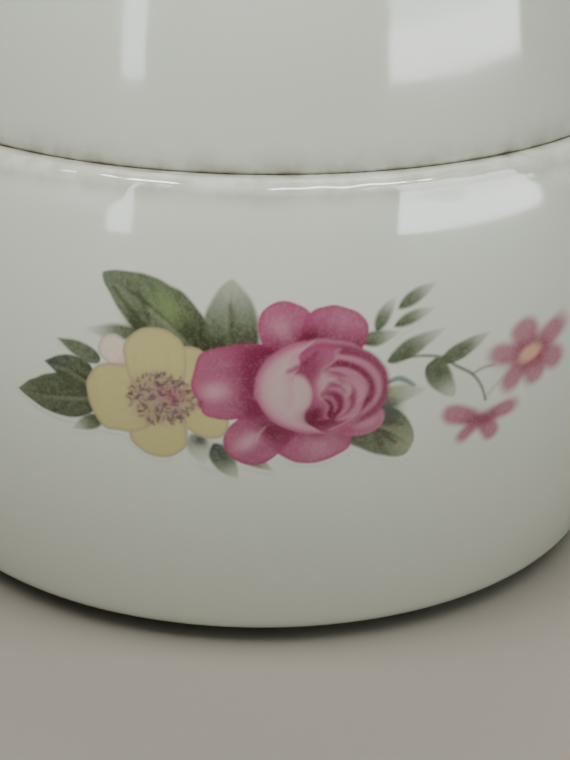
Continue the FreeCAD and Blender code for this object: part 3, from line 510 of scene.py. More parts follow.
# a sheet of ceramic colours fired into the glaze, drawn here stroke by stroke
printSheet = {
    # mm across the front, to the right of its middle, and mm up from the table
    "left": -32.0, "right": 44.0, "low": 26.6, "high": 53.4,
    "grid": 0.125,              # mm between the points that carry the colours
    "proud": 0.03,              # mm that the film stands off the bowl
    "softEdge": 0.2,            # mm over which a colour fades at its edge
    "grain": 0.06,              # how much the printed dots vary in strength
    "depth": 1.25,              # more than 1 deepens the colours, as the glaze over them does
    "stamens": 330,             # short hairs in the yellow flower's heart
}
inks = {
    "leafDark": "#46502f", "leafDeep": "#5f6a4d", "leafMid": "#737e62", "leafBright": "#93a673",
    "leafPale": "#a5ac8d", "leafBrown": "#64584d", "leafTeal": "#6f8681", "leafSlate": "#5b6461",
    "yellow": "#d0c994", "yellowShade": "#b8af7c", "stamen": "#80606c", "stamenPale": "#b5a097",
    "outline": "#a88f93", "blushPale": "#e9dccd",
    "roseDark": "#8e2057", "roseDarkest": "#7f0442", "roseMid": "#b54d7d", "roseSoft": "#b96d8f",
    "rosePale": "#d4a7b5", "roseWhite": "#d5bfbd", "roseInner": "#cf9bae", "roseRim": "#bd829b",
    "stem": "#56574b", "pink": "#bd768c", "pinkDeep": "#a44d70", "apricot": "#e6bfa4",
}

sheet = printSheet
across = np.arange(sheet["left"], sheet["right"], sheet["grid"])
upward = np.arange(sheet["low"], sheet["high"], sheet["grid"])
gridS, gridZ = np.meshgrid(across, upward)
inkColour = np.zeros((*gridS.shape, 3))
inkCover = np.zeros(gridS.shape)


def smooth(low, high, value):
    t = np.clip((value - low) / (high - low), 0, 1)
    return t * t * (3 - 2 * t)


def softNoise(seed, size):      # smooth random values from 0 to 1, about this many mm apart
    random = np.random.default_rng(seed)
    rows, columns = (int(n * sheet["grid"] / size) + 3 for n in gridS.shape)
    knots = random.random((rows, columns))
    y, x = (gridZ - sheet["low"]) / size, (gridS - sheet["left"]) / size
    i, j = y.astype(int), x.astype(int)
    u, v = smooth(0, 1, y - i), smooth(0, 1, x - j)
    lower = knots[i, j] * (1 - v) + knots[i, j + 1] * v
    upper = knots[i + 1, j] * (1 - v) + knots[i + 1, j + 1] * v
    return lower * (1 - u) + upper * u


edgeWander = softNoise(3, 1.6) - 0.5


def lay(colour, cover):         # puts a colour, which may vary over the sheet, over what is there
    global inkColour, inkCover
    colour = np.asarray(colour, float)
    cover = np.clip(cover, 0, 1)
    total = cover + inkCover * (1 - cover)
    share = (cover / np.maximum(total, 1e-6))[..., None]
    inkColour = colour * share + inkColour * (1 - share)
    inkCover = total


def flatInk(name):              # one ink all over the sheet
    return np.broadcast_to(np.array(linear(inks[name])), inkColour.shape)


def mixInks(first, second, amount):     # inks by name, or colours already mixed
    a, b = (np.array(linear(inks[n])) if isinstance(n, str) else n for n in (first, second))
    return a + (b - a) * np.clip(amount, 0, 1)[..., None]


def turnedBy(centre, tiltDegrees):      # places on the sheet about a centre, along tilted axes
    turn = radians(tiltDegrees)
    ds, dz = gridS - centre[0], gridZ - centre[1]
    return ds * cos(turn) + dz * sin(turn), -ds * sin(turn) + dz * cos(turn)


def frameOf(base, tip, bend):
    # how far each point lies along a curved blade (0 to 1) and how many mm to its left side
    length = hypot(tip[0] - base[0], tip[1] - base[1])
    along = np.array([tip[0] - base[0], tip[1] - base[1]]) / length
    ds, dz = gridS - base[0], gridZ - base[1]
    t = (ds * along[0] + dz * along[1]) / length
    side = -ds * along[1] + dz * along[0] - 4 * bend * t * (1 - t)
    return t, side, length


def leaf(base, tip, width, colours, bend=0.0, root=0.7, point=1.0, veins=4, strength=0.95,
         soft=1.0, fade=0.0):
    # a blade with a dark root, a midrib and slanting veins; colours are root, body, tip and vein
    t, side, length = frameOf(base, tip, bend)
    inner = np.clip(t, 1e-4, 1 - 1e-4)
    peak = (root / (root + point)) ** root * (point / (root + point)) ** point
    half = 0.5 * width * inner ** root * (1 - inner) ** point / peak
    half = half + 0.25 * edgeWander * min(1, width / 4)
    inside = np.minimum(half - np.abs(side), np.minimum(t, 1 - t) * length)
    q = side / np.maximum(half, 0.05)
    body = mixInks(colours[0], colours[1], smooth(0.0, 0.45, t + 0.12 * q))
    body = mixInks(body, colours[2], smooth(0.45, 1.0, t - 0.15 * np.abs(q)))
    if veins:
        phase = (t - 0.3 * np.abs(q) ** 1.3) * veins
        slant = smooth(0.55, 0.95, np.cos(tau * phase))
        slant = slant * smooth(0.08, 0.3, np.abs(q)) * smooth(1.0, 0.7, np.abs(q))
        body = mixInks(body, colours[3], 0.5 * slant * smooth(1.0, 0.5, t))
        body = mixInks(body, colours[3], 0.75 * np.exp(-(side / 0.22) ** 2) * smooth(1.02, 0.6, t))
        body = mixInks(body, "leafPale",
                       0.35 * np.exp(-((side - 0.5) / 0.3) ** 2) * smooth(1.0, 0.3, t))
    cover = smooth(-0.6 * sheet["softEdge"] * soft, sheet["softEdge"] * soft, inside)
    lay(body, strength * cover * (1 - fade * smooth(0.3, 1.0, t)))


def petal(base, tip, width, colours, bend=0.0, full=0.6, square=2.3, ripple=0.0, lobes=3, strength=0.97,
          soft=1.0, glow=(0.62, 0.0, 0.32), rim=0.6, light=0.8, shade=0.45):
    # an egg-shaped petal, fullest at this share of its length: deep colour at its root, a pale glow
    # in the middle and a thin darker rim; colours are root, body, glow and rim
    t, side, length = frameOf(base, tip, bend)
    x = np.where(t < full, (t - full) / full, (t - full) / (1 - full))
    q = side / (0.5 * width)
    ring = (np.abs(x) ** square + np.abs(q) ** square) ** (1 / square)
    angle = np.arctan2(q, x)
    inside = (1 - ring) * min(0.5 * width, length * (1 - full)) + 0.25 * edgeWander
    inside = inside + ripple * np.cos(lobes * angle) * smooth(0.1, 0.8, x) * 0.6
    body = mixInks(colours[0], colours[1], smooth(shade - 0.4, shade + 0.1, t + 0.1 * edgeWander))
    near = np.sqrt(((t - glow[0]) / glow[2]) ** 2 + ((q - glow[1]) / (glow[2] * 1.9)) ** 2)
    body = mixInks(body, colours[2], light * np.exp(-near ** 2))
    streak = 0.5 + 0.5 * np.sin(q * 17 + 3 * edgeWander + base[0])
    body = mixInks(body, colours[0], 0.16 * streak * smooth(0.9, 0.2, t))
    body = mixInks(body, colours[3], rim * smooth(0.75, 0.0, inside) ** 1.5)
    lay(body, strength * smooth(-0.6 * sheet["softEdge"] * soft, sheet["softEdge"] * soft, inside))


def stroke(points, width, colour, strength=0.9, taper=0.6, soft=1.0):
    # a brush line through given points, thin at its ends
    points = np.array(points, float)
    run = np.hypot(*np.diff(points, axis=0).T).sum()
    steps = np.linspace(0, 1, max(4, int(run / 0.08)))
    at = steps * (len(points) - 1)
    i = np.clip(at.astype(int), 0, len(points) - 2)
    u = at - i
    before, after = points[np.maximum(i - 1, 0)], points[np.minimum(i + 2, len(points) - 1)]
    p, n = points[i], points[i + 1]
    u = u[:, None]
    cubic = 2 * before - 5 * p + 4 * n - after + u * (3 * (p - n) + after - before)
    curve = p + 0.5 * u * (n - before + u * cubic)
    best = np.full(gridS.shape, 99.0)
    margin = width + 4 * sheet["softEdge"]
    low, high = curve.min(axis=0) - margin, curve.max(axis=0) + margin
    columns = np.nonzero((across > low[0]) & (across < high[0]))[0]
    rows = np.nonzero((upward > low[1]) & (upward < high[1]))[0]
    window = np.ix_(rows, columns)
    ws, wz = gridS[window], gridZ[window]
    for (s, z), k in zip(curve, steps):
        thick = 0.5 * width * (1 - taper * abs(2 * k - 1) ** 2)
        best[window] = np.minimum(best[window], np.hypot(ws - s, wz - z) - thick)
    edge = sheet["softEdge"] * soft
    lay(flatInk(colour), strength * smooth(edge, -0.6 * edge, best))


def crescent(centre, radii, tiltDegrees, span, width, colour, strength=0.85, soft=1.6):
    # a fold's edge: part of a tilted oval ring that thins towards both ends of its span in degrees
    x, y = turnedBy(centre, tiltDegrees)
    angle = np.degrees(np.arctan2(y / radii[1], x / radii[0]))
    middle, halfSpan = (span[0] + span[1]) / 2, (span[1] - span[0]) / 2
    away = np.abs((angle - middle + 180) % 360 - 180) / halfSpan
    off = (np.hypot(x / radii[0], y / radii[1]) - 1) * 2 * radii[0] * radii[1] / (radii[0] + radii[1])
    thick = 0.5 * width * np.clip(1 - away ** 2, 0, 1) + 0.12 * edgeWander
    edge = sheet["softEdge"] * soft
    cover = smooth(edge, -0.5 * edge, np.abs(off) - thick) * smooth(1.05, 0.85, away)
    lay(flatInk(colour), strength * cover)


def blot(centre, radii, tiltDegrees, colour, strength=0.8, power=1.0):      # a soft patch of colour
    x, y = turnedBy(centre, tiltDegrees)
    ring = (x / radii[0]) ** 2 + (y / radii[1]) ** 2 + 0.35 * edgeWander
    lay(flatInk(colour), strength * np.exp(-np.maximum(ring, 0) ** power))


def moon(centre, radii, cutCentre, cutRadii, colours, wave=0.0, strength=0.97, soft=1.2):
    # a folded petal: an oval with a second oval taken out
    # colours are its outer edge, its body, its inner edge and its glow
    ds, dz = gridS - centre[0], gridZ - centre[1]
    inside = (1 - np.hypot(ds / radii[0], dz / radii[1])) * min(radii)
    cs, cz = gridS - cutCentre[0], gridZ - cutCentre[1]
    swing = wave * np.sin(2.2 * cz)
    cut = (np.hypot((cs + swing) / cutRadii[0], cz / cutRadii[1]) - 1) * min(cutRadii)
    reach = np.minimum(inside, cut) + 0.2 * edgeWander
    body = mixInks(colours[1], colours[3], smooth(0.2, 2.2, reach))
    body = mixInks(body, colours[0], 0.8 * smooth(0.9, 0.0, inside))
    body = mixInks(body, colours[2], 0.7 * smooth(0.6, 0.0, cut))
    lay(body, strength * smooth(-0.6 * sheet["softEdge"] * soft, sheet["softEdge"] * soft, reach))


def oval(centre, radii, tiltDegrees, inner, outer, strength=0.97, soft=1.2):    # with a clear edge
    x, y = turnedBy(centre, tiltDegrees)
    ring = np.hypot(x / radii[0], y / radii[1])
    edge = sheet["softEdge"] * soft
    inside = (1 - ring) * min(radii) + 0.25 * edgeWander
    lay(mixInks(inner, outer, ring ** 2.5), strength * smooth(-edge, edge, inside))


def drawLeaves():
    dark, deep, mid, pale = "leafDark", "leafDeep", "leafMid", "leafPale"
    # behind the yellow flower, from the left round to the top
    leaf((-18.0, 36.6), (-29.2, 35.2), 6.0, (dark, deep, mid, dark), bend=0.3, root=0.45, point=0.85,
         veins=3, soft=1.4)
    leaf((-18.4, 37.4), (-25.2, 39.6), 4.2, (dark, deep, "leafSlate", dark), bend=-0.7, root=0.5,
         point=0.9, veins=2, soft=1.4)
    leaf((-17.8, 40.8), (-23.4, 42.8), 2.3, (deep, mid, mid, dark), bend=-0.1, root=0.5, point=0.9,
         veins=0, soft=1.6)
    leaf((-17.9, 33.5), (-21.9, 31.4), 2.1, (dark, mid, pale, dark), root=0.5, point=0.9, veins=0,
         fade=0.5, soft=1.6)
    leaf((-12.8, 45.0), (-19.8, 44.6), 2.2, (mid, mid, pale, deep), bend=0.2, veins=0, fade=0.7,
         soft=2.4)
    leaf((-5.0, 42.4), (-17.6, 51.6), 7.6, (dark, mid, mid, dark), bend=-0.7, root=0.6, point=0.8,
         veins=4, soft=1.6)
    blot((-9.6, 48.2), (2.6, 1.3), -42, "leafBright", 0.75)
    blot((-14.9, 48.6), (1.9, 0.7), -58, "leafPale", 0.45)
    blot((-13.4, 45.7), (1.8, 0.9), -48, dark, 0.8)
    blot((-7.2, 45.6), (2.2, 0.8), -50, dark, 0.55)
    stroke([(-11.9, 45.4), (-13.8, 47.2), (-16.2, 50.0)], 0.5, dark, 0.6, soft=2.0)
    stroke([(-11.9, 46.2), (-12.6, 48.4), (-13.4, 49.8)], 0.45, dark, 0.45, soft=2.2)
    leaf((-2.0, 42.0), (-2.4, 52.0), 6.6, (dark, mid, pale, deep), bend=0.2, root=0.5, point=0.75,
         veins=3, soft=2.4, fade=0.3)
    blot((-4.6, 43.6), (2.8, 1.7), 10, dark, 0.85)
    blot((-0.4, 43.4), (1.7, 1.6), 30, "leafBrown", 0.75)
    stroke([(-2.2, 43.0), (-2.2, 46.0), (-2.5, 48.8)], 0.7, deep, 0.55, soft=2.6)
    # under the flowers
    leaf((-6.9, 32.8), (-5.4, 28.4), 3.0, (mid, pale, pale, deep), veins=0, soft=2.8, fade=0.75,
         strength=0.7)
    blot((-6.0, 31.9), (0.9, 0.8), 0, "leafSlate", 0.85)
    leaf((-4.5, 31.6), (-1.5, 26.8), 2.9, ("leafSlate", mid, pale, deep), bend=-0.2, veins=0, soft=1.8,
         fade=0.5)
    blot((-3.5, 30.2), (0.8, 1.4), 28, "leafSlate", 0.8)
    leaf((-2.2, 30.4), (2.6, 28.0), 1.8, (dark, "leafBrown", pale, deep), bend=0.2, veins=0, soft=1.8,
         fade=0.4)
    # behind the rose on its right
    leaf((13.8, 36.0), (20.8, 37.4), 3.0, (mid, pale, pale, mid), bend=0.5, veins=0, soft=2.6, fade=0.6)
    stroke([(15.9, 38.9), (17.4, 39.2), (19.2, 38.2)], 0.6, "leafTeal", 0.8, soft=1.6)
    leaf((9.8, 34.4), (19.4, 29.9), 6.4, ("leafBrown", mid, pale, dark), bend=0.9, root=0.5, point=0.45,
         veins=2, soft=1.8)
    blot((15.6, 35.4), (2.3, 1.7), -20, "leafSlate", 0.75, power=2.0)
    blot((12.0, 32.9), (2.2, 1.0), -12, "leafBrown", 0.85)
    stroke([(12.8, 33.7), (15.0, 32.7), (17.3, 30.9)], 0.55, "leafBrown", 0.75, soft=1.8)
    stroke([(14.2, 33.6), (16.2, 33.8), (18.0, 33.2)], 0.5, "leafBrown", 0.55, soft=2.0)


def drawSpray():
    deep, mid, pale = "leafDeep", "leafMid", "leafPale"
    stem = [(15.9, 41.6), (19.4, 41.8), (22.6, 41.2), (24.6, 39.8), (26.8, 38.4), (28.2, 36.6),
            (29.0, 34.6)]
    stroke(stem, 0.32, "stem", 0.75, taper=0.3, soft=1.3)
    stroke([(26.9, 38.4), (28.2, 38.9), (29.9, 39.0)], 0.28, "stem", 0.55, soft=1.7)
    stroke([(28.9, 34.9), (30.0, 36.0), (31.2, 37.0)], 0.25, "stamen", 0.3, soft=2.2)
    leaf((14.3, 45.2), (16.7, 49.4), 1.9, (deep, mid, pale, deep), bend=0.2, veins=0, soft=2.0,
         fade=0.7)
    leaf((16.9, 47.8), (21.8, 50.5), 1.8, (deep, mid, pale, deep), bend=0.15, veins=0, soft=2.0,
         fade=0.6)
    leaf((16.4, 45.7), (21.6, 47.5), 1.7, (deep, mid, pale, deep), bend=0.15, veins=0, soft=2.0,
         fade=0.7)
    leaf((12.0, 44.4), (17.4, 45.1), 2.1, ("leafBrown", mid, pale, deep), bend=-0.2, veins=0, soft=2.0,
         fade=0.6)
    leaf((15.8, 41.4), (23.0, 44.8), 2.4, (deep, mid, pale, deep), bend=0.2, root=0.6, veins=0,
         soft=2.0, fade=0.6)
    leaf((22.4, 40.6), (29.2, 43.4), 2.3, (deep, mid, "leafPale", deep), root=0.6, veins=0, soft=1.8,
         fade=0.55)
    leaf((21.2, 41.0), (24.6, 35.9), 3.2, (deep, mid, pale, deep), bend=-0.2, root=0.35, point=0.6,
         veins=0, soft=1.8, fade=0.45)
    blot((22.4, 39.6), (1.2, 0.9), -40, deep, 0.85)
    blot((25.4, 41.8), (1.5, 0.6), 22, deep, 0.75)
    blot((18.3, 42.5), (1.6, 0.6), 25, deep, 0.5)


def drawYellowFlower():
    look = ("yellowShade", "yellow", "yellow", "outline")
    petal((-13.6, 40.6), (-17.8, 43.6), 4.0, ("rosePale", "blushPale", "blushPale", "outline"), rim=0.5,
          soft=1.3)
    heart = (-10.6, 36.9)
    for tip, width, bend in (
        ((-2.9, 33.0), 5.0, 0.6), ((-5.6, 43.2), 5.6, -0.2), ((-11.4, 29.2), 7.2, 0.1),
        ((-19.7, 36.6), 9.0, 0.3), ((-11.7, 45.7), 7.4, 0.0),
    ):
        petal(heart, tip, width, look, bend=bend, full=0.62, ripple=0.14, lobes=4, rim=0.5, light=0.5,
              shade=0.3)
    # stamens: short bent hairs about the heart
    random = np.random.default_rng(12)
    blot(heart, (3.9, 3.1), 0, "stamenPale", 0.8, power=2.0)
    for _ in range(sheet["stamens"]):
        angle = random.uniform(0, tau)
        reach = sqrt(random.uniform(0.02, 1))
        s, z = heart[0] + 3.8 * reach * cos(angle), heart[1] + 3.1 * reach * sin(angle)
        lean = angle + random.uniform(-1.2, 1.2)
        size = random.uniform(0.25, 0.6)
        tint = ("stamen", "stamen", "stamenPale", "yellowShade", "stamen")[random.integers(5)]
        stroke([(s, z), (s + size * cos(lean), z + size * sin(lean))], 0.24, tint,
               random.uniform(0.35, 0.75), taper=0.2, soft=0.9)
    blot((heart[0] + 1.4, heart[1] + 0.5), (1.5, 0.9), -10, "roseMid", 0.45)


def drawRose():
    outer = ("roseDark", "roseSoft", "rosePale", "roseMid")
    # outer petals, from the back to the front
    petal((5.6, 40.6), (2.6, 49.2), 6.6, outer, bend=-0.3, full=0.64, ripple=0.3, lobes=3,
          glow=(0.66, 0.2, 0.22), light=0.5, shade=0.62)
    petal((8.4, 40.6), (10.4, 48.6), 8.0, outer, bend=0.2, full=0.62, glow=(0.8, -0.1, 0.2), light=0.2,
          shade=0.72)
    petal((7.0, 36.6), (6.9, 29.0), 9.4, outer, bend=0.2, full=0.62, ripple=0.3, lobes=4,
          glow=(0.7, 0.2, 0.25), light=0.45, shade=0.6)
    petal((6.2, 39.2), (-2.4, 29.8), 6.6, outer, bend=0.5, full=0.7, glow=(0.76, -0.1, 0.16), light=1.0,
          rim=0.8, shade=0.7)
    petal((6.0, 39.8), (-6.9, 38.8), 9.4, outer, bend=-0.3, full=0.6, square=2.7, ripple=0.3, lobes=7,
          glow=(0.8, 0.2, 0.13), light=1.0, rim=0.85, shade=0.7)
    blot((-0.2, 40.8), (1.3, 2.6), 10, "roseDark", 0.6)
    blot((-0.2, 37.4), (1.0, 2.6), 8, "roseDark", 0.4)
    blot((2.2, 33.6), (1.9, 1.3), -40, "roseDarkest", 0.75)
    blot((6.6, 45.0), (1.5, 0.9), 20, "roseDarkest", 0.7)
    blot((3.0, 44.0), (1.8, 0.9), -25, "roseDark", 0.5)
    blot((-6.0, 36.6), (0.4, 0.5), 0, "roseDark", 0.7)
    stroke([(0.6, 31.9), (0.9, 33.0), (1.6, 33.9)], 0.22, "roseWhite", 0.4, soft=1.4)

    # the head: folded petals round a spiral heart
    oval((8.2, 38.8), (7.9, 6.0), -6, "roseSoft", "roseRim")
    petal((9.6, 33.6), (15.9, 34.9), 3.0, ("roseMid", "roseSoft", "rosePale", "rosePale"), bend=-0.5,
          full=0.6, light=0.6, rim=0.3)
    crescent((9.0, 38.6), (6.2, 4.9), -8, (-60, 120), 1.7, "roseDark", 0.7, soft=3.0)
    crescent((9.7, 38.5), (4.9, 4.0), -8, (-50, 110), 1.1, "roseInner", 0.75, soft=2.2)
    crescent((9.4, 38.2), (4.1, 3.2), -10, (-60, 175), 1.7, "roseDark", 0.9, soft=2.4)
    blot((8.8, 36.2), (3.4, 2.9), 20, "roseDark", 0.9, power=1.6)
    blot((7.6, 35.0), (2.4, 1.5), 20, "roseDarkest", 0.95)
    crescent((9.9, 38.6), (3.2, 2.3), -20, (-30, 130), 1.0, "roseInner", 0.8, soft=2.0)
    crescent((9.8, 37.3), (2.9, 2.7), 0, (-95, 80), 0.8, "roseInner", 0.75, soft=2.0)
    crescent((9.6, 38.5), (1.7, 1.2), -25, (-20, 150), 0.8, "roseWhite", 0.6, soft=2.0)
    crescent((9.2, 36.7), (1.9, 1.9), 15, (-90, 90), 0.6, "roseInner", 0.65, soft=1.9)
    crescent((8.7, 36.4), (1.0, 1.2), 25, (-70, 100), 0.45, "roseInner", 0.5, soft=1.8)
    crescent((9.3, 35.5), (3.6, 2.0), 22, (-110, -15), 0.35, "roseInner", 0.6, soft=1.8)
    crescent((9.1, 35.4), (4.8, 2.4), 20, (-95, -10), 0.35, "roseRim", 0.55, soft=1.8)
    blot((10.3, 39.6), (0.9, 0.4), -35, "roseDark", 0.45)
    # a second fold across the middle, then the large pale petal that wraps the left side
    moon((8.0, 39.4), (4.3, 4.9), (12.9, 38.6), (4.6, 5.6),
         ("roseMid", "roseSoft", "roseInner", "roseSoft"), wave=-0.4, soft=1.6)
    blot((8.2, 39.6), (0.8, 1.7), -12, "roseWhite", 0.65)
    blot((6.4, 41.0), (1.3, 2.0), -35, "roseDark", 0.65)
    blot((6.3, 37.4), (0.9, 2.6), 5, "roseDark", 0.5)
    moon((8.2, 38.8), (7.9, 6.05), (11.6, 39.4), (6.6, 7.4),
         ("roseSoft", "rosePale", "rosePale", "roseWhite"), wave=0.3, soft=1.2)
    moon((5.0, 38.0), (2.1, 2.7), (2.4, 38.0), (2.2, 6.0),
         ("rosePale", "roseWhite", "roseWhite", "roseWhite"), soft=2.0, strength=0.95)
    blot((3.6, 38.0), (1.5, 2.6), 5, "roseWhite", 0.5)
    blot((7.2, 35.3), (1.2, 1.0), 25, "roseDarkest", 0.9, power=1.5)
    stroke([(7.4, 43.2), (6.2, 42.0), (4.8, 41.2), (4.1, 40.9)], 0.45, "roseDark", 0.6, soft=2.2)


def drawSmallFlowers():
    look = ("pinkDeep", "pink", "pink", "pink")
    heart = (35.2, 39.4)
    for tip, width in (
        ((41.2, 42.8), 3.4), ((33.6, 44.2), 4.4), ((41.0, 37.2), 3.6), ((31.4, 35.2), 3.2),
        ((28.8, 40.4), 3.2), ((36.8, 35.0), 3.8),
    ):
        petal(heart, tip, width, look, full=0.62, soft=4.4, light=0.25, rim=0.0, strength=0.85)
    blot(heart, (3.2, 1.9), 15, "pinkDeep", 0.6)
    oval((35.2, 39.4), (1.75, 1.05), 15, "apricot", "apricot", 0.9, soft=2.6)
    heart = (28.6, 32.2)
    for tip, width in (
        ((22.9, 34.0), 2.8), ((34.3, 33.2), 2.3), ((25.4, 29.6), 2.2), ((31.1, 29.1), 2.8),
    ):
        petal(heart, tip, width, look, full=0.62, soft=3.4, light=0.2, rim=0.0, strength=0.88)
    blot(heart, (2.2, 1.0), 0, "pinkDeep", 0.8)


drawSpray()
drawLeaves()
drawYellowFlower()
drawRose()
drawSmallFlowers()
grain = softNoise(5, 0.3) * 0.6 + softNoise(6, 0.6) * 0.4 - 0.5
inkCover = np.clip(inkCover * (1 + 2 * sheet["grain"] * grain), 0, 1)
inkColour = np.clip(inkColour ** sheet["depth"] * (1 + sheet["grain"] * grain)[..., None], 0, 1)


def flowerFilm():
    # the inked part of the sheet, wrapped on the bowl's front and lit by the same glaze
    s = printSheet
    rows, columns = gridS.shape
    angle = gridS / bowlShape["belly"]
    radius = outsideRadius(gridZ) + s["proud"]
    inked = inkCover > 0.004
    spread = inked.copy()       # keeps a clear margin of glaze round the ink
    for dy, dx in ((0, 1), (0, -1), (1, 0), (-1, 0)):
        spread |= np.roll(inked, (3 * dy, 3 * dx), (0, 1))
    cells = spread[:-1, :-1] & spread[1:, :-1] & spread[:-1, 1:] & spread[1:, 1:]
    number = -np.ones(gridS.shape, int)
    corner = np.zeros(gridS.shape, bool)
    for dy in (0, 1):
        for dx in (0, 1):
            corner[dy:rows - 1 + dy, dx:columns - 1 + dx] |= cells
    number[corner] = np.arange(corner.sum())
    points = np.stack([radius * np.sin(angle), -radius * np.cos(angle), gridZ], -1)[corner] * mm
    i, j = np.nonzero(cells)
    faces = np.stack([number[i, j], number[i, j + 1], number[i + 1, j + 1], number[i + 1, j]], -1)
    film = newPiece("printedFlowers", points.tolist(), faces.tolist(), [printGlaze])
    colours = np.concatenate([inkColour[corner], inkCover[corner][:, None]], 1)
    film.data.attributes.new("ink", "FLOAT_COLOR", "POINT").data.foreach_set(
        "color", np.ascontiguousarray(colours, np.float32).ravel()
    )
    flat = np.stack([
        (gridS - s["left"]) / (s["right"] - s["left"]), (gridZ - s["low"]) / (s["high"] - s["low"])
    ], -1)[corner]
    layer = film.data.uv_layers.new(name="OFBake")
    order = np.array([loop.vertex_index for loop in film.data.loops])
    layer.data.foreach_set("uv", np.ascontiguousarray(flat[order], np.float32).ravel())
    return film


film = flowerFilm()
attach(film, "jar")
print("flowers printed")


# the lid's outline, in mm
lidShape = {
    "seat": bowlHigh.z / mm,
    "radius": 50.0, "sideHeight": 22.0, "sideArc": 108.0, "shoulderArc": 17.0, "crownArc": 118.0,
    "wall": 3.6, "edgeRound": 0.5,
    "flangeDepth": 5.0, "flangeOutside": 46.0, "flangeWidth": 3.2, "flangeRound": 0.8,
    "flangeTop": 4.0, "slopeTop": 8.0,      # heights over the seat where flange and wall begin
    "knobPad": 9.0,
    # how strongly the edges show brown through thin glaze, and over how many mm; the side value and
    # part of the edge value are painted shade where the lid meets the ledge
    "edgeStainAndShade": (0.45, 0.7), "sideShade": (0.5, 2.4), "flangeStain": (0.5, 0.4),
}


def lidArcs():
    s = lidShape
    side = (s["radius"] - s["sideArc"], s["seat"])
    sideEnd = asin(s["sideHeight"] / s["sideArc"])
    reach = s["sideArc"] - s["shoulderArc"]
    shoulder = (side[0] + reach * cos(sideEnd), side[1] + reach * sin(sideEnd))
    crownStart = acos(shoulder[0] / (s["crownArc"] - s["shoulderArc"]))
    crown = (0.0, shoulder[1] - (s["crownArc"] - s["shoulderArc"]) * sin(crownStart))
    return side, sideEnd, shoulder, crownStart, crown


def lidOutline():
    s = lidShape
    side, sideEnd, shoulder, crownStart, crown = lidArcs()
    inner = s["flangeOutside"] - s["flangeWidth"]
    low = s["seat"] - s["flangeDepth"]
    q = s["flangeRound"]
    inside = s["sideArc"] - s["wall"]
    slopeEnd = asin(s["slopeTop"] / inside)
    # inside first, from the crown down to the flange
    down = [(0.0, crown[1] + s["crownArc"] - s["wall"])]
    arcTo(down, crown, crownStart, 2.0, clockwise=True)
    arcTo(down, shoulder, sideEnd, 1.5, clockwise=True)
    arcTo(down, side, slopeEnd, 2.0, clockwise=True)
    lineTo(down, inner, s["seat"] + s["flangeTop"])
    lineTo(down, inner, low + q)
    arcTo(down, (inner + q, low + q), 3 * pi / 2, 0.3)
    lineTo(down, s["flangeOutside"] - q, low)
    # then the outside, from the flange up to the crown
    arcTo(down, (s["flangeOutside"] - q, low + q), 0.0, 0.3)
    lineTo(down, s["flangeOutside"], s["seat"])
    e = s["edgeRound"]
    lineTo(down, s["radius"] - e - 0.02, s["seat"], 0.8)
    arcTo(down, (s["radius"] - e, s["seat"] + e), 0.0, 0.15)
    arcTo(down, side, sideEnd, 1.0)
    arcTo(down, shoulder, crownStart, 1.0)
    arcTo(down, crown, acos(s["knobPad"] / s["crownArc"]), 1.5)
    top = down[-1][1]
    lineTo(down, 0.0, top, 3.0)
    return down, top


outline, padHeight = lidOutline()
lid = turned("lidPorcelain", outline, [whiteGlaze])
heights, radii = heightsAndRadii(lid)
shape = lidShape
# painted shade: the lid's side darkens towards the seat where it meets the ledge; the narrow band at
# the very edge is partly thin glaze
stainAndShade = np.zeros(len(heights))
for strength, spread in (shape["edgeStainAndShade"], shape["sideShade"]):
    stainAndShade += strength * np.exp(-((heights - shape["seat"]) / spread) ** 2)
stainAndShade *= radii > shape["flangeOutside"] - 0.1
strength, spread = shape["flangeStain"]
stainAndShade += strength * np.exp(-((heights - shape["seat"] + shape["flangeDepth"]) / spread) ** 2)
setFloats(lid, "thinEdgeAndShade", np.clip(stainAndShade, 0, 1))
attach(lid, "lid_assembly")
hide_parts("lid")

knobShape = {                   # in mm, from the luted foot up
    "base": 8.2, "footHeight": 0.8, "footRound": 0.35, "cove": 3.0, "sideArc": 4.0, "topArc": 11.0,
    "footStain": (0.4, 0.3),
}


def knobOutline():
    s = knobShape
    neck = s["base"] - s["cove"]
    foot = padHeight + s["footHeight"]
    cove = (s["base"], foot + s["cove"])
    head = (neck, cove[1] + s["sideArc"])
    reach = s["topArc"] - s["sideArc"]
    crownStart = acos(head[0] / reach)
    line = [(0.0, padHeight), (s["base"] - s["footRound"], padHeight)]
    arcTo(line, (s["base"] - s["footRound"], padHeight + s["footRound"]), 0.0, 0.15)
    lineTo(line, s["base"], foot, 0.3)
    arcTo(line, cove, pi, 0.3, clockwise=True)
    arcTo(line, head, crownStart, 0.3)
    arcTo(line, (0.0, head[1] - reach * sin(crownStart)), pi / 2, 0.5)
    line[-1] = (0.0, line[-1][1])
    return line


knob = turned("knobPorcelain", knobOutline(), [whiteGlaze], segments=160)
heights, radii = heightsAndRadii(knob)
strength, spread = knobShape["footStain"]
setFloats(knob, "thinEdgeAndShade", strength * np.exp(-((heights - padHeight) / spread) ** 2))
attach(knob, "lid_assembly")
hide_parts("lid_knob")
print("lid and knob turned")


powderShape = {
    "level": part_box("powder_fill")[1].z / mm,
    "gap": 0.1,                 # mm between powder and glaze
    "dents": 0.7,               # mm that the puff has pressed and dragged into its top
    "colour": "#e6c4ac", "dark": "#d8b096",
    "clumpSize": 5.0,           # mm across a clump
    "crumbSize": 0.45,          # talc grains are 0.02 mm, drawn as crumbs so that they show
    "crumbHeight": 0.12,
}


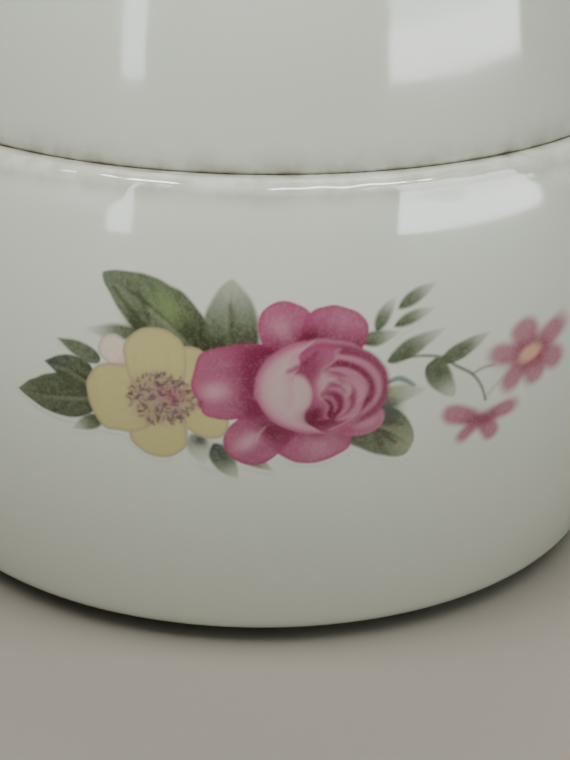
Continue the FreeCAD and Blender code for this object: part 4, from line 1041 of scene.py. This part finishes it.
def insideRadius(height):       # of the bowl's wall, where the powder meets it
    s = bowlShape
    arcs = wallArcs(s["wall"], s["floor"], s["floorCorner"])
    lower, corner, cornerEnd = arcs[0], arcs[3], arcs[4]
    if height < corner[1] + s["floorCorner"] * sin(cornerEnd):
        return corner[0] + sqrt(max(s["floorCorner"] ** 2 - (height - corner[1]) ** 2, 0))
    return lower[0] + sqrt((s["lowerArc"] - s["wall"]) ** 2 - (height - lower[1]) ** 2)


def powderTop(angles, radius, height):
    s = powderShape
    onTop = height > s["level"] - 0.01
    x, y = radius * np.cos(angles), radius * np.sin(angles)
    drag = np.sin(0.34 * x + 0.9 * np.sin(0.11 * y) + 0.6) * np.sin(0.27 * y + 1.1 * np.sin(0.13 * x))
    drag = 0.5 + 0.5 * drag
    lumps = np.sin(1.3 * x + 2.1 * np.sin(0.9 * y)) + np.sin(1.7 * y + 1.9 * np.sin(1.1 * x))
    lumps = 0.5 + 0.25 * lumps
    slump = np.exp(-((radius - powderEdge) / 2.5) ** 2)
    dent = s["dents"] * (0.6 * drag + 0.25 * lumps) + 0.5 * slump
    return radius, height - np.where(onTop & (radius < powderEdge + 0.01), dent, 0)


def talc():                     # milled talc: dead matt, with soft clumps of slightly deeper tint
    s = powderShape
    material, tree, shader = newMaterial("pressedTalcPowder")
    place = addNode(tree, "TexCoord", {}).outputs["Object"]
    clumps = addNode(tree, "TexNoise", {"Scale": perMetre(s["clumpSize"]), "Detail": 6.0},
                     {"Vector": place})
    tone = addNode(
        tree, "Mix", {"data_type": "RGBA", 6: paint(s["dark"]), 7: paint(s["colour"])},
        {0: clumps.outputs["Fac"]},
    )
    tree.links.new(tone.outputs[2], shader.inputs["Base Color"])
    shader.inputs["Roughness"].default_value = 1.0
    shader.inputs["Specular IOR Level"].default_value = 0.1
    crumbs = addNode(
        tree, "TexNoise", {"Scale": perMetre(s["crumbSize"]), "Detail": 4.0}, {"Vector": place}
    )
    bump = addNode(
        tree, "Bump", {"Strength": 1.0, "Distance": s["crumbHeight"] * mm},
        {"Height": crumbs.outputs["Fac"]},
    )
    tree.links.new(bump.outputs[0], shader.inputs["Normal"])
    return material


powderEdge = insideRadius(powderShape["level"]) - powderShape["gap"]
line = [(0.0, bowlShape["floor"] + powderShape["gap"])]
lineTo(line, insideRadius(bowlShape["floor"] + 0.3) - 0.5, bowlShape["floor"] + powderShape["gap"], 4.0)
for height in np.linspace(bowlShape["floor"] + 0.3, powderShape["level"] - 0.4, 14):
    line.append((insideRadius(height) - powderShape["gap"], float(height)))
line.append((powderEdge, powderShape["level"]))
lineTo(line, 0.0, powderShape["level"], 0.6)
powder = turned("powderBed", line, [talc()], segments=300, wobble=powderTop)
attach(powder, "jar")
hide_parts("powder_fill")
print("powder levelled")


# velour underneath, satin on top, stuffed with wadding, corded at the seam
puffShape = {
    "radius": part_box("puff_pile")[1].x / mm,
    "base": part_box("puff_pile")[0].z / mm,
    "seam": 33.3,
    "crown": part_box("puff_satin_back")[1].z / mm,
    "inset": 0.9,               # mm that the stuffed shape starts inside its final size
    "edgeRound": 2.6,
    "lipInset": 1.6, "lipRise": 0.9,        # where the satin's dome starts, in from and over the seam
    "domePower": 2.4, "domeSteps": 14,      # a higher power gives a flatter dome
    "voxel": 2.6,               # mm between the cloth's points while it is blown out
    "pressure": 4.0,
    "frames": 20,               # simulated before the cloth is stopped
    "split": 0.6,               # mm below the seam at which velour gives way to satin
    "cap": 1.1,                 # mm that the stuffing may push the cloth out
    "gathers": 52, "gatherDepth": 0.22,
    "velourThickness": 0.6, "satinThickness": 0.35,
    "tufts": 26000,
    "tuftLength": 1.0,          # real velour fibres are 0.03 mm thick, drawn 0.2 mm so that they show
    "tuftWidth": 0.2,
}


def fabric(name, colours, threadSize, bumpHeight, roughness, sheen, sheenTint, lustre=0.5):
    # colours are the thread's light and dark tones; threads cross along x and y, their size in mm
    material, tree, shader = newMaterial(name)
    place = addNode(tree, "TexCoord", {}).outputs["Object"]
    fade = addNode(tree, "TexNoise", {"Scale": perMetre(14.0), "Detail": 3.0}, {"Vector": place})
    slub = addNode(tree, "TexNoise", {"Scale": perMetre(0.7), "Detail": 4.0}, {"Vector": place})
    fade = addNode(tree, "Math", {"operation": "MULTIPLY", 1: 0.4}, {0: fade.outputs["Fac"]})
    both = addNode(
        tree, "Math", {"operation": "MULTIPLY_ADD", 1: 0.6},
        {0: slub.outputs["Fac"], 2: fade.outputs[0]},
    )
    tone = addNode(
        tree, "Mix", {"data_type": "RGBA", 6: paint(colours[0]), 7: paint(colours[1])},
        {0: both.outputs[0]},
    )
    tree.links.new(tone.outputs[2], shader.inputs["Base Color"])
    shader.inputs["Roughness"].default_value = roughness
    shader.inputs["Specular IOR Level"].default_value = lustre
    shader.inputs["Sheen Weight"].default_value = sheen
    shader.inputs["Sheen Roughness"].default_value = 0.4
    shader.inputs["Sheen Tint"].default_value = paint(sheenTint)
    waves = []
    for direction, spacing in (("X", threadSize), ("Y", threadSize * 1.4)):     # warp and weft
        bands = {
            "bands_direction": direction, "Scale": perMetre(spacing) / tau,
            "Distortion": 0.6, "Detail": 1.0,
        }
        waves.append(addNode(tree, "TexWave", bands, {"Vector": place}))
    woven = addNode(
        tree, "Math", {"operation": "ADD"}, {0: waves[0].outputs["Fac"], 1: waves[1].outputs["Fac"]}
    )
    threads = addNode(
        tree, "Bump", {"Strength": 0.8, "Distance": bumpHeight * mm}, {"Height": woven.outputs[0]}
    )
    tree.links.new(threads.outputs[0], shader.inputs["Normal"])
    return material


# velour is a cut pile: matt, with a pale bloom where the fibres' sides catch the light
velour = fabric("cutVelour", ("#f1ddd3", "#e3c3b8"), 0.5, 0.05, 0.95, 0.8, "#fff2ec", lustre=0.2)
# satin weave floats its threads on top, which gives a soft sheen and hardly any grain; its real
# threads are 0.1 mm apart, drawn 0.3 mm so that they show
satin = fabric("wovenSatin", ("#d9a3a9", "#c98c95"), 0.3, 0.012, 0.36, 0.35, "#ffe3e2")
cording = fabric("biasSatinOverCord", ("#c07f8a", "#a9656f"), 0.35, 0.02, 0.42, 0.35, "#ffdada")
ribbonCloth = fabric("satinRibbon", ("#bf7985", "#a8606d"), 0.32, 0.012, 0.34, 0.4, "#ffdcdc")
# carded cotton is combed, not woven: loose, matt and uneven
wadding = fabric("cardedCotton", ("#f2efe8", "#ddd7ca"), 0.9, 0.12, 1.0, 0.3, "#ffffff", lustre=0.1)


def stuffedShape():
    # a lens of cloth blown out by its stuffing, held in at the seam and at the bow
    s = puffShape
    r, low, top = s["radius"] - s["inset"], s["base"] + s["inset"], s["crown"] - 0.2
    q = s["edgeRound"]
    line = [(0.0, low)]
    lineTo(line, r - q - 1.5, low, 3.0)
    arcTo(line, (r - q, low + q), 0.0, 0.8)
    lineTo(line, r - 0.4, s["seam"] - 0.6)
    half, domeLow = r - s["lipInset"], s["seam"] + s["lipRise"]
    lineTo(line, half, domeLow)
    for k in range(1, s["domeSteps"]):
        f = 1 - k / s["domeSteps"]
        rise = (top - s["seam"] - s["lipRise"]) * (1 - f ** s["domePower"])
        line.append((half * f, domeLow + rise))
    line.append((0.0, top))
    shape = turned("stuffedLens", line, [velour], segments=72)
    bpy.context.view_layer.objects.active = shape
    remesh = shape.modifiers.new("even", "REMESH")
    remesh.mode = "VOXEL"
    remesh.voxel_size = s["voxel"] * mm
    bpy.ops.object.modifier_apply(modifier="even")
    held = shape.vertex_groups.new(name="held")
    start = np.array([v.co[:] for v in shape.data.vertices])
    away = np.hypot(start[:, 0], start[:, 1]) / mm
    seamRing = (np.abs(start[:, 2] / mm - s["seam"]) < 1.5) & (away > r - 4)
    underBow = (away < 4.5) & (start[:, 2] / mm > s["seam"])
    for i in np.nonzero(seamRing | underBow)[0]:
        held.add([int(i)], 1.0, "REPLACE")
    cloth = shape.modifiers.new("stuffing", "CLOTH")
    cloth.settings.use_pressure = True
    cloth.settings.uniform_pressure_force = s["pressure"]
    cloth.settings.effector_weights.gravity = 0.0
    cloth.settings.vertex_group_mass = "held"
    cloth.point_cache.frame_start, cloth.point_cache.frame_end = 1, s["frames"]
    scene = bpy.context.scene
    for frameNumber in range(1, s["frames"] + 1):
        scene.frame_set(frameNumber)
    blown = shape.evaluated_get(bpy.context.evaluated_depsgraph_get()).data
    end = np.array([v.co[:] for v in blown.vertices])
    shape.modifiers.remove(cloth)
    scene.frame_set(1)
    move = end - start
    size = np.linalg.norm(move, axis=1, keepdims=True)
    move *= np.minimum(1, s["cap"] * mm / np.maximum(size, 1e-9))
    shape.data.vertices.foreach_set("co", (start + move).ravel())
    shape.modifiers.new("finer", "SUBSURF").levels = 1
    bpy.ops.object.modifier_apply(modifier="finer")
    return shape


def halfShell(source, name, material, upper, thickness):
    # the stuffed shape's upper or lower cloth as a piece of its own, doubled inwards
    s = puffShape
    points = np.array([v.co[:] for v in source.data.vertices]) / mm
    keep = []
    for face in source.data.polygons:
        height = points[list(face.vertices), 2].mean()
        if (height > s["seam"] - s["split"]) == upper:
            keep.append(list(face.vertices))
    used = sorted({i for face in keep for i in face})
    number = {old: new for new, old in enumerate(used)}
    points = points[used]
    away, angle = np.hypot(points[:, 0], points[:, 1]), np.arctan2(points[:, 1], points[:, 0])
    if upper:                   # gathers pulled in by the seam and by the stitches under the bow
        pull = np.exp(-((away - s["radius"] + 3) / 5) ** 2) + 0.7 * np.exp(-((away - 5) / 5) ** 2)
        folds = np.sin(s["gathers"] * angle + 0.8 * np.sin(5 * angle)) + 0.4 * np.sin(31 * angle + 1)
        points[:, 2] += s["gatherDepth"] * pull * folds * smooth(0, 3, away) - 0.15
        points[:, 2] = np.minimum(points[:, 2], s["crown"] - 0.05)
    else:                       # it rests level on the powder
        points[:, 2] = np.maximum(points[:, 2], s["base"] + 0.35)
        grow = np.minimum(1, (s["radius"] - 0.6) / np.maximum(away, 1e-6))
        points[:, :2] *= grow[:, None]
    faces = [[number[i] for i in face] for face in keep]
    piece = newPiece(name, [tuple(map(float, p * mm)) for p in points], faces, [material])
    piece.modifiers.new("cloth", "SOLIDIFY").thickness = thickness * mm
    piece.modifiers["cloth"].offset = -1
    bpy.context.view_layer.objects.active = piece
    bpy.ops.object.modifier_apply(modifier="cloth")
    return piece


def addTufts(piece):
    # short fibres stand on the velour's side and lie pressed on its underside
    s = puffShape
    random = np.random.default_rng(21)
    mesh = piece.data
    centres = np.array([f.center[:] for f in mesh.polygons])
    normals = np.array([f.normal[:] for f in mesh.polygons])
    areas = np.array([f.area for f in mesh.polygons])
    outward = normals[:, 0] * centres[:, 0] + normals[:, 1] * centres[:, 1] > 0.02 * mm
    outward &= centres[:, 2] < (s["seam"] - 1.6) * mm
    below = (normals[:, 2] < -0.4) & (centres[:, 2] < (s["base"] + 3) * mm)
    outside = below | outward & (normals[:, 2] < 0.5)
    chosen = random.choice(len(areas), s["tufts"], p=areas * outside / (areas * outside).sum())
    spread = np.sqrt(areas[chosen])[:, None]
    roots = centres[chosen] + (random.random((s["tufts"], 3)) - 0.5) * spread
    normal = normals[chosen]
    roots -= normal * np.sum((roots - centres[chosen]) * normal, axis=1, keepdims=True)
    lean = random.normal(0, 0.45, (s["tufts"], 3))
    under = normal[:, 2] < -0.7
    lean[under] *= 3.0
    grow = normal + lean
    grow /= np.linalg.norm(grow, axis=1, keepdims=True)
    length = s["tuftLength"] * mm * random.uniform(0.6, 1.0, (s["tufts"], 1))
    tips = roots + grow * length
    tips[:, 2] = np.maximum(tips[:, 2], (s["base"] + 0.03) * mm)
    reach = np.hypot(tips[:, 0], tips[:, 1])
    tips[:, :2] *= np.minimum(1, (s["radius"] + 0.2) * mm / reach)[:, None]
    side = np.cross(grow, random.normal(0, 1, (s["tufts"], 3)))
    side *= 0.5 * s["tuftWidth"] * mm / np.linalg.norm(side, axis=1, keepdims=True)
    other = np.cross(grow, side)
    corners = np.stack([
        roots + side, roots - 0.5 * side + 0.87 * other, roots - 0.5 * side - 0.87 * other, tips
    ], 1)
    points = [tuple(map(float, p)) for p in corners.reshape(-1, 3)]
    faces = []
    for n in range(0, 4 * s["tufts"], 4):
        faces += [(n, n + 1, n + 3), (n + 1, n + 2, n + 3), (n + 2, n, n + 3)]
    fibres = newPiece("velourFibres", points, faces, [velour])
    joined(piece, fibres)


stuffed = stuffedShape()
pile = halfShell(stuffed, "velourPile", velour, False, puffShape["velourThickness"])
back = halfShell(stuffed, "satinBack", satin, True, puffShape["satinThickness"])
bpy.data.objects.remove(stuffed)
addTufts(pile)
print("puff stuffed")


def waddingLumps(angles, radius, height):
    lumps = 0.3 * np.sin(9 * angles + radius) + 0.25 * np.sin(14 * angles - 0.5 * radius)
    return radius - 0.3 + 0.3 * lumps * (radius > 8), height + 0.12 * lumps * (radius > 2)


def waddingOutline():           # a lens that keeps clear of the cloth all round
    low, high = (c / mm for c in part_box("puff_wadding"))
    line = [(0.0, low.z + 0.5)]
    lineTo(line, high.x - 4.2, low.z + 0.5, 2.0)
    arcTo(line, (high.x - 4.4, (low.z + high.z) / 2 - 1.6), radians(60), 0.6)
    edgeRadius, edgeHeight = line[-1]
    rise = high.z - 1.0 - edgeHeight
    steps = 20
    for k in range(1, steps + 1):
        f = 1 - k / steps
        line.append((edgeRadius * f, edgeHeight + rise * (1 - f ** 2)))
    return line


core = turned("cottonWadding", waddingOutline(), [wadding], segments=120, wobble=waddingLumps)

pipingLow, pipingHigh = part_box("puff_piping")
pipingShape = {                 # in mm
    "radius": 1.3, "ring": pipingHigh.x / mm - 1.3, "height": (pipingLow.z + pipingHigh.z) / 2 / mm,
    "wrinkles": 150, "wrinkleDepth": 0.06, "rounds": 600, "sides": 18,
}


def cordedSeam():               # bias cloth puckers where it is pulled round the cord
    s = pipingShape
    points, faces = [], []
    for i in range(s["rounds"]):
        a = tau * i / s["rounds"]
        for j in range(s["sides"]):
            b = tau * j / s["sides"]
            pinch = sin(s["wrinkles"] * a + 1.3 * b) + 0.5 * sin(61 * a - 2 * b)
            tube = s["radius"] + s["wrinkleDepth"] * (pinch - 1.6)
            ring = s["ring"] + tube * cos(b)
            points.append((ring * cos(a) * mm, ring * sin(a) * mm, (s["height"] + tube * sin(b)) * mm))
            k, m = (i + 1) % s["rounds"] * s["sides"], (j + 1) % s["sides"]
            n = i * s["sides"]
            faces.append((n + j, k + j, k + m, n + m))
    return newPiece("cordedSeam", points, faces, [cording])


piping = cordedSeam()
print("seam corded")


# one ribbon tied into the bow that lifts the puff, in mm
loopsLow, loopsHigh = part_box("puff_bow_loops")
bowShape = {
    "middle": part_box("puff_bow_knot")[1].z / mm - 1.7,
    "width": 9.0, "waist": 4.6, "thickness": 0.4, "columns": 15,    # columns are points across it
    "reach": loopsHigh.x / mm, "loopLow": loopsLow.z / mm, "loopTop": loopsHigh.z / mm,
    "loopPleat": 0.42, "tailPleat": 0.25,   # depth of the creases that run out of the knot
    "tailLength": 17.0, "tailAngle": 28.0, "notch": 3.0,
}


def ribbonPiece(name, spine, widths, pleats, turns=None, notch=0.0):
    # a strip of ribbon along a spine of (x, y, z) points in mm, with a width at each of them
    spine = np.array(spine, float)
    columns = bowShape["columns"]
    ahead = np.gradient(spine, axis=0)
    ahead /= np.linalg.norm(ahead, axis=1, keepdims=True)
    sideways = np.tile([0.0, 1.0, 0.0], (len(spine), 1)) if turns is None else np.array(turns, float)
    up = np.cross(ahead, sideways)
    points, faces = [], []
    for i in range(len(spine)):
        for j in range(columns):
            v = 2 * j / (columns - 1) - 1
            p = spine[i] + sideways[i] * v * widths[i] / 2
            p = p + up[i] * pleats[i] * np.sin(v * pi * 2.5 + 0.7)
            if notch and i >= len(spine) - 6:
                p = p - ahead[i] * notch * (1 - abs(v)) * (i - len(spine) + 6) / 5
            points.append(tuple(map(float, p * mm)))
    for i in range(len(spine) - 1):
        for j in range(columns - 1):
            n = i * columns + j
            faces.append((n, n + 1, n + columns + 1, n + columns))
    piece = newPiece(name, points, faces, [ribbonCloth])
    piece.modifiers.new("cloth", "SOLIDIFY").thickness = bowShape["thickness"] * mm
    piece.modifiers["cloth"].offset = 0
    bpy.context.view_layer.objects.active = piece
    bpy.ops.object.modifier_apply(modifier="cloth")
    return piece


def bowLoop(name, direction):
    # out from the knot along the underside, round the end and back over the top
    s = bowShape
    low, top = s["loopLow"] + 0.35, s["loopTop"] - 0.35
    spine, widths, pleats = [], [], []
    for t in np.linspace(0, 1, 64):
        a = t * tau
        x = 0.4 + (s["reach"] - 0.9) * (0.5 - 0.5 * cos(a)) ** 0.9
        half = (top - low) / 2 * sin(a / 2) ** 1.3
        centre = s["middle"] + ((low + top) / 2 - s["middle"]) * min(1, x / 6)
        z = min(max(centre - half * sin(a) * 1.05, low), top)
        spine.append((direction * x, 0.25 * sin(a), z))
        near = min(1, x / 11)
        widths.append(s["waist"] + (s["width"] - s["waist"]) * near ** 0.7)
        pleats.append(s["loopPleat"] * (1 - near) ** 1.2 + 0.05)
    return ribbonPiece(name, spine, widths, pleats)


loops = joined(bowLoop("ribbonLoops", 1), bowLoop("ribbonLoopOther", -1))


def satinHeight(away):          # of the satin's top at this distance from the axis
    s = puffShape
    half, domeLow = s["radius"] - s["inset"] - s["lipInset"], s["seam"] + s["lipRise"]
    rise = s["crown"] - s["seam"] - s["lipRise"]
    return domeLow + rise * (1 - min(1, away / half) ** s["domePower"])


def bowTail(name, direction):
    s = bowShape
    spine, widths, turns, pleats = [], [], [], []
    swing = radians(s["tailAngle"])
    for t in np.linspace(0, 1, 40):
        run = t * s["tailLength"]
        bend = swing * min(1, t * 1.6)
        x = direction * (run * cos(bend * 0.8))
        y = -run * sin(bend * 0.8)
        lift = 1.25 * exp(-run / 7) + 0.35 * sin(run * 0.55 + direction) ** 2 * min(1, run / 4)
        spine.append((x, y, satinHeight(hypot(x, y)) + 0.45 + lift))
        turns.append((direction * sin(bend), cos(bend), 0.0))
        near = min(1, run / 9)
        widths.append(s["waist"] - 0.6 + (s["width"] - s["waist"]) * near)
        pleats.append(s["tailPleat"] * (1 - near))
    return ribbonPiece(name, spine, widths, pleats, turns, s["notch"])


tails = joined(bowTail("ribbonTails", 1), bowTail("ribbonTailOther", -1))


def bowKnot():
    # the band that wraps the bow's waist, with soft creases round it
    low, high = (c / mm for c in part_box("puff_bow_knot"))
    rows, sides = 26, 56
    points, faces = [], []
    for i in range(rows + 1):
        u = 2 * i / rows - 1
        shoulder = (1 - abs(u) ** 5) ** 0.5
        for j in range(sides):
            a = tau * j / sides
            c, k = cos(a), sin(a)
            square = (abs(c) ** 2.6 + abs(k) ** 2.6) ** (-1 / 2.6)
            crease = 1 - 0.035 * (1 + cos(u * 9 + 0.6 * sin(2 * a))) * abs(k)
            size = (0.82 + 0.18 * shoulder) * square * crease
            points.append((
                u * (high.x - low.x) / 2 * mm,
                c * size * (high.y - low.y) / 2 * mm,
                ((low.z + high.z) / 2 + k * size * (high.z - low.z) / 2) * mm,
            ))
    for i in range(rows):
        for j in range(sides):
            m = (j + 1) % sides
            faces.append((i * sides + j, (i + 1) * sides + j, (i + 1) * sides + m, i * sides + m))
    for end in (0, rows):
        middle = len(points)
        edge = points[end * sides]
        points.append((edge[0] * 0.97, 0.0, (low.z + high.z) / 2 * mm))
        for j in range(sides):
            m = (j + 1) % sides
            triangle = (end * sides + j, end * sides + m, middle)
            faces.append(triangle if end else triangle[::-1])
    return newPiece("ribbonKnot", points, faces, [ribbonCloth])


knot = bowKnot()
for piece, node in (
    (pile, "puff_pile"), (core, "puff_wadding"), (back, "puff_satin_back"), (piping, "puff_piping"),
    (loops, "puff_bow_loops"), (knot, "puff_bow_knot"), (tails, "puff_bow_tails"),
):
    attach(piece, "puff")
    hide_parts(node)
print("bow tied")
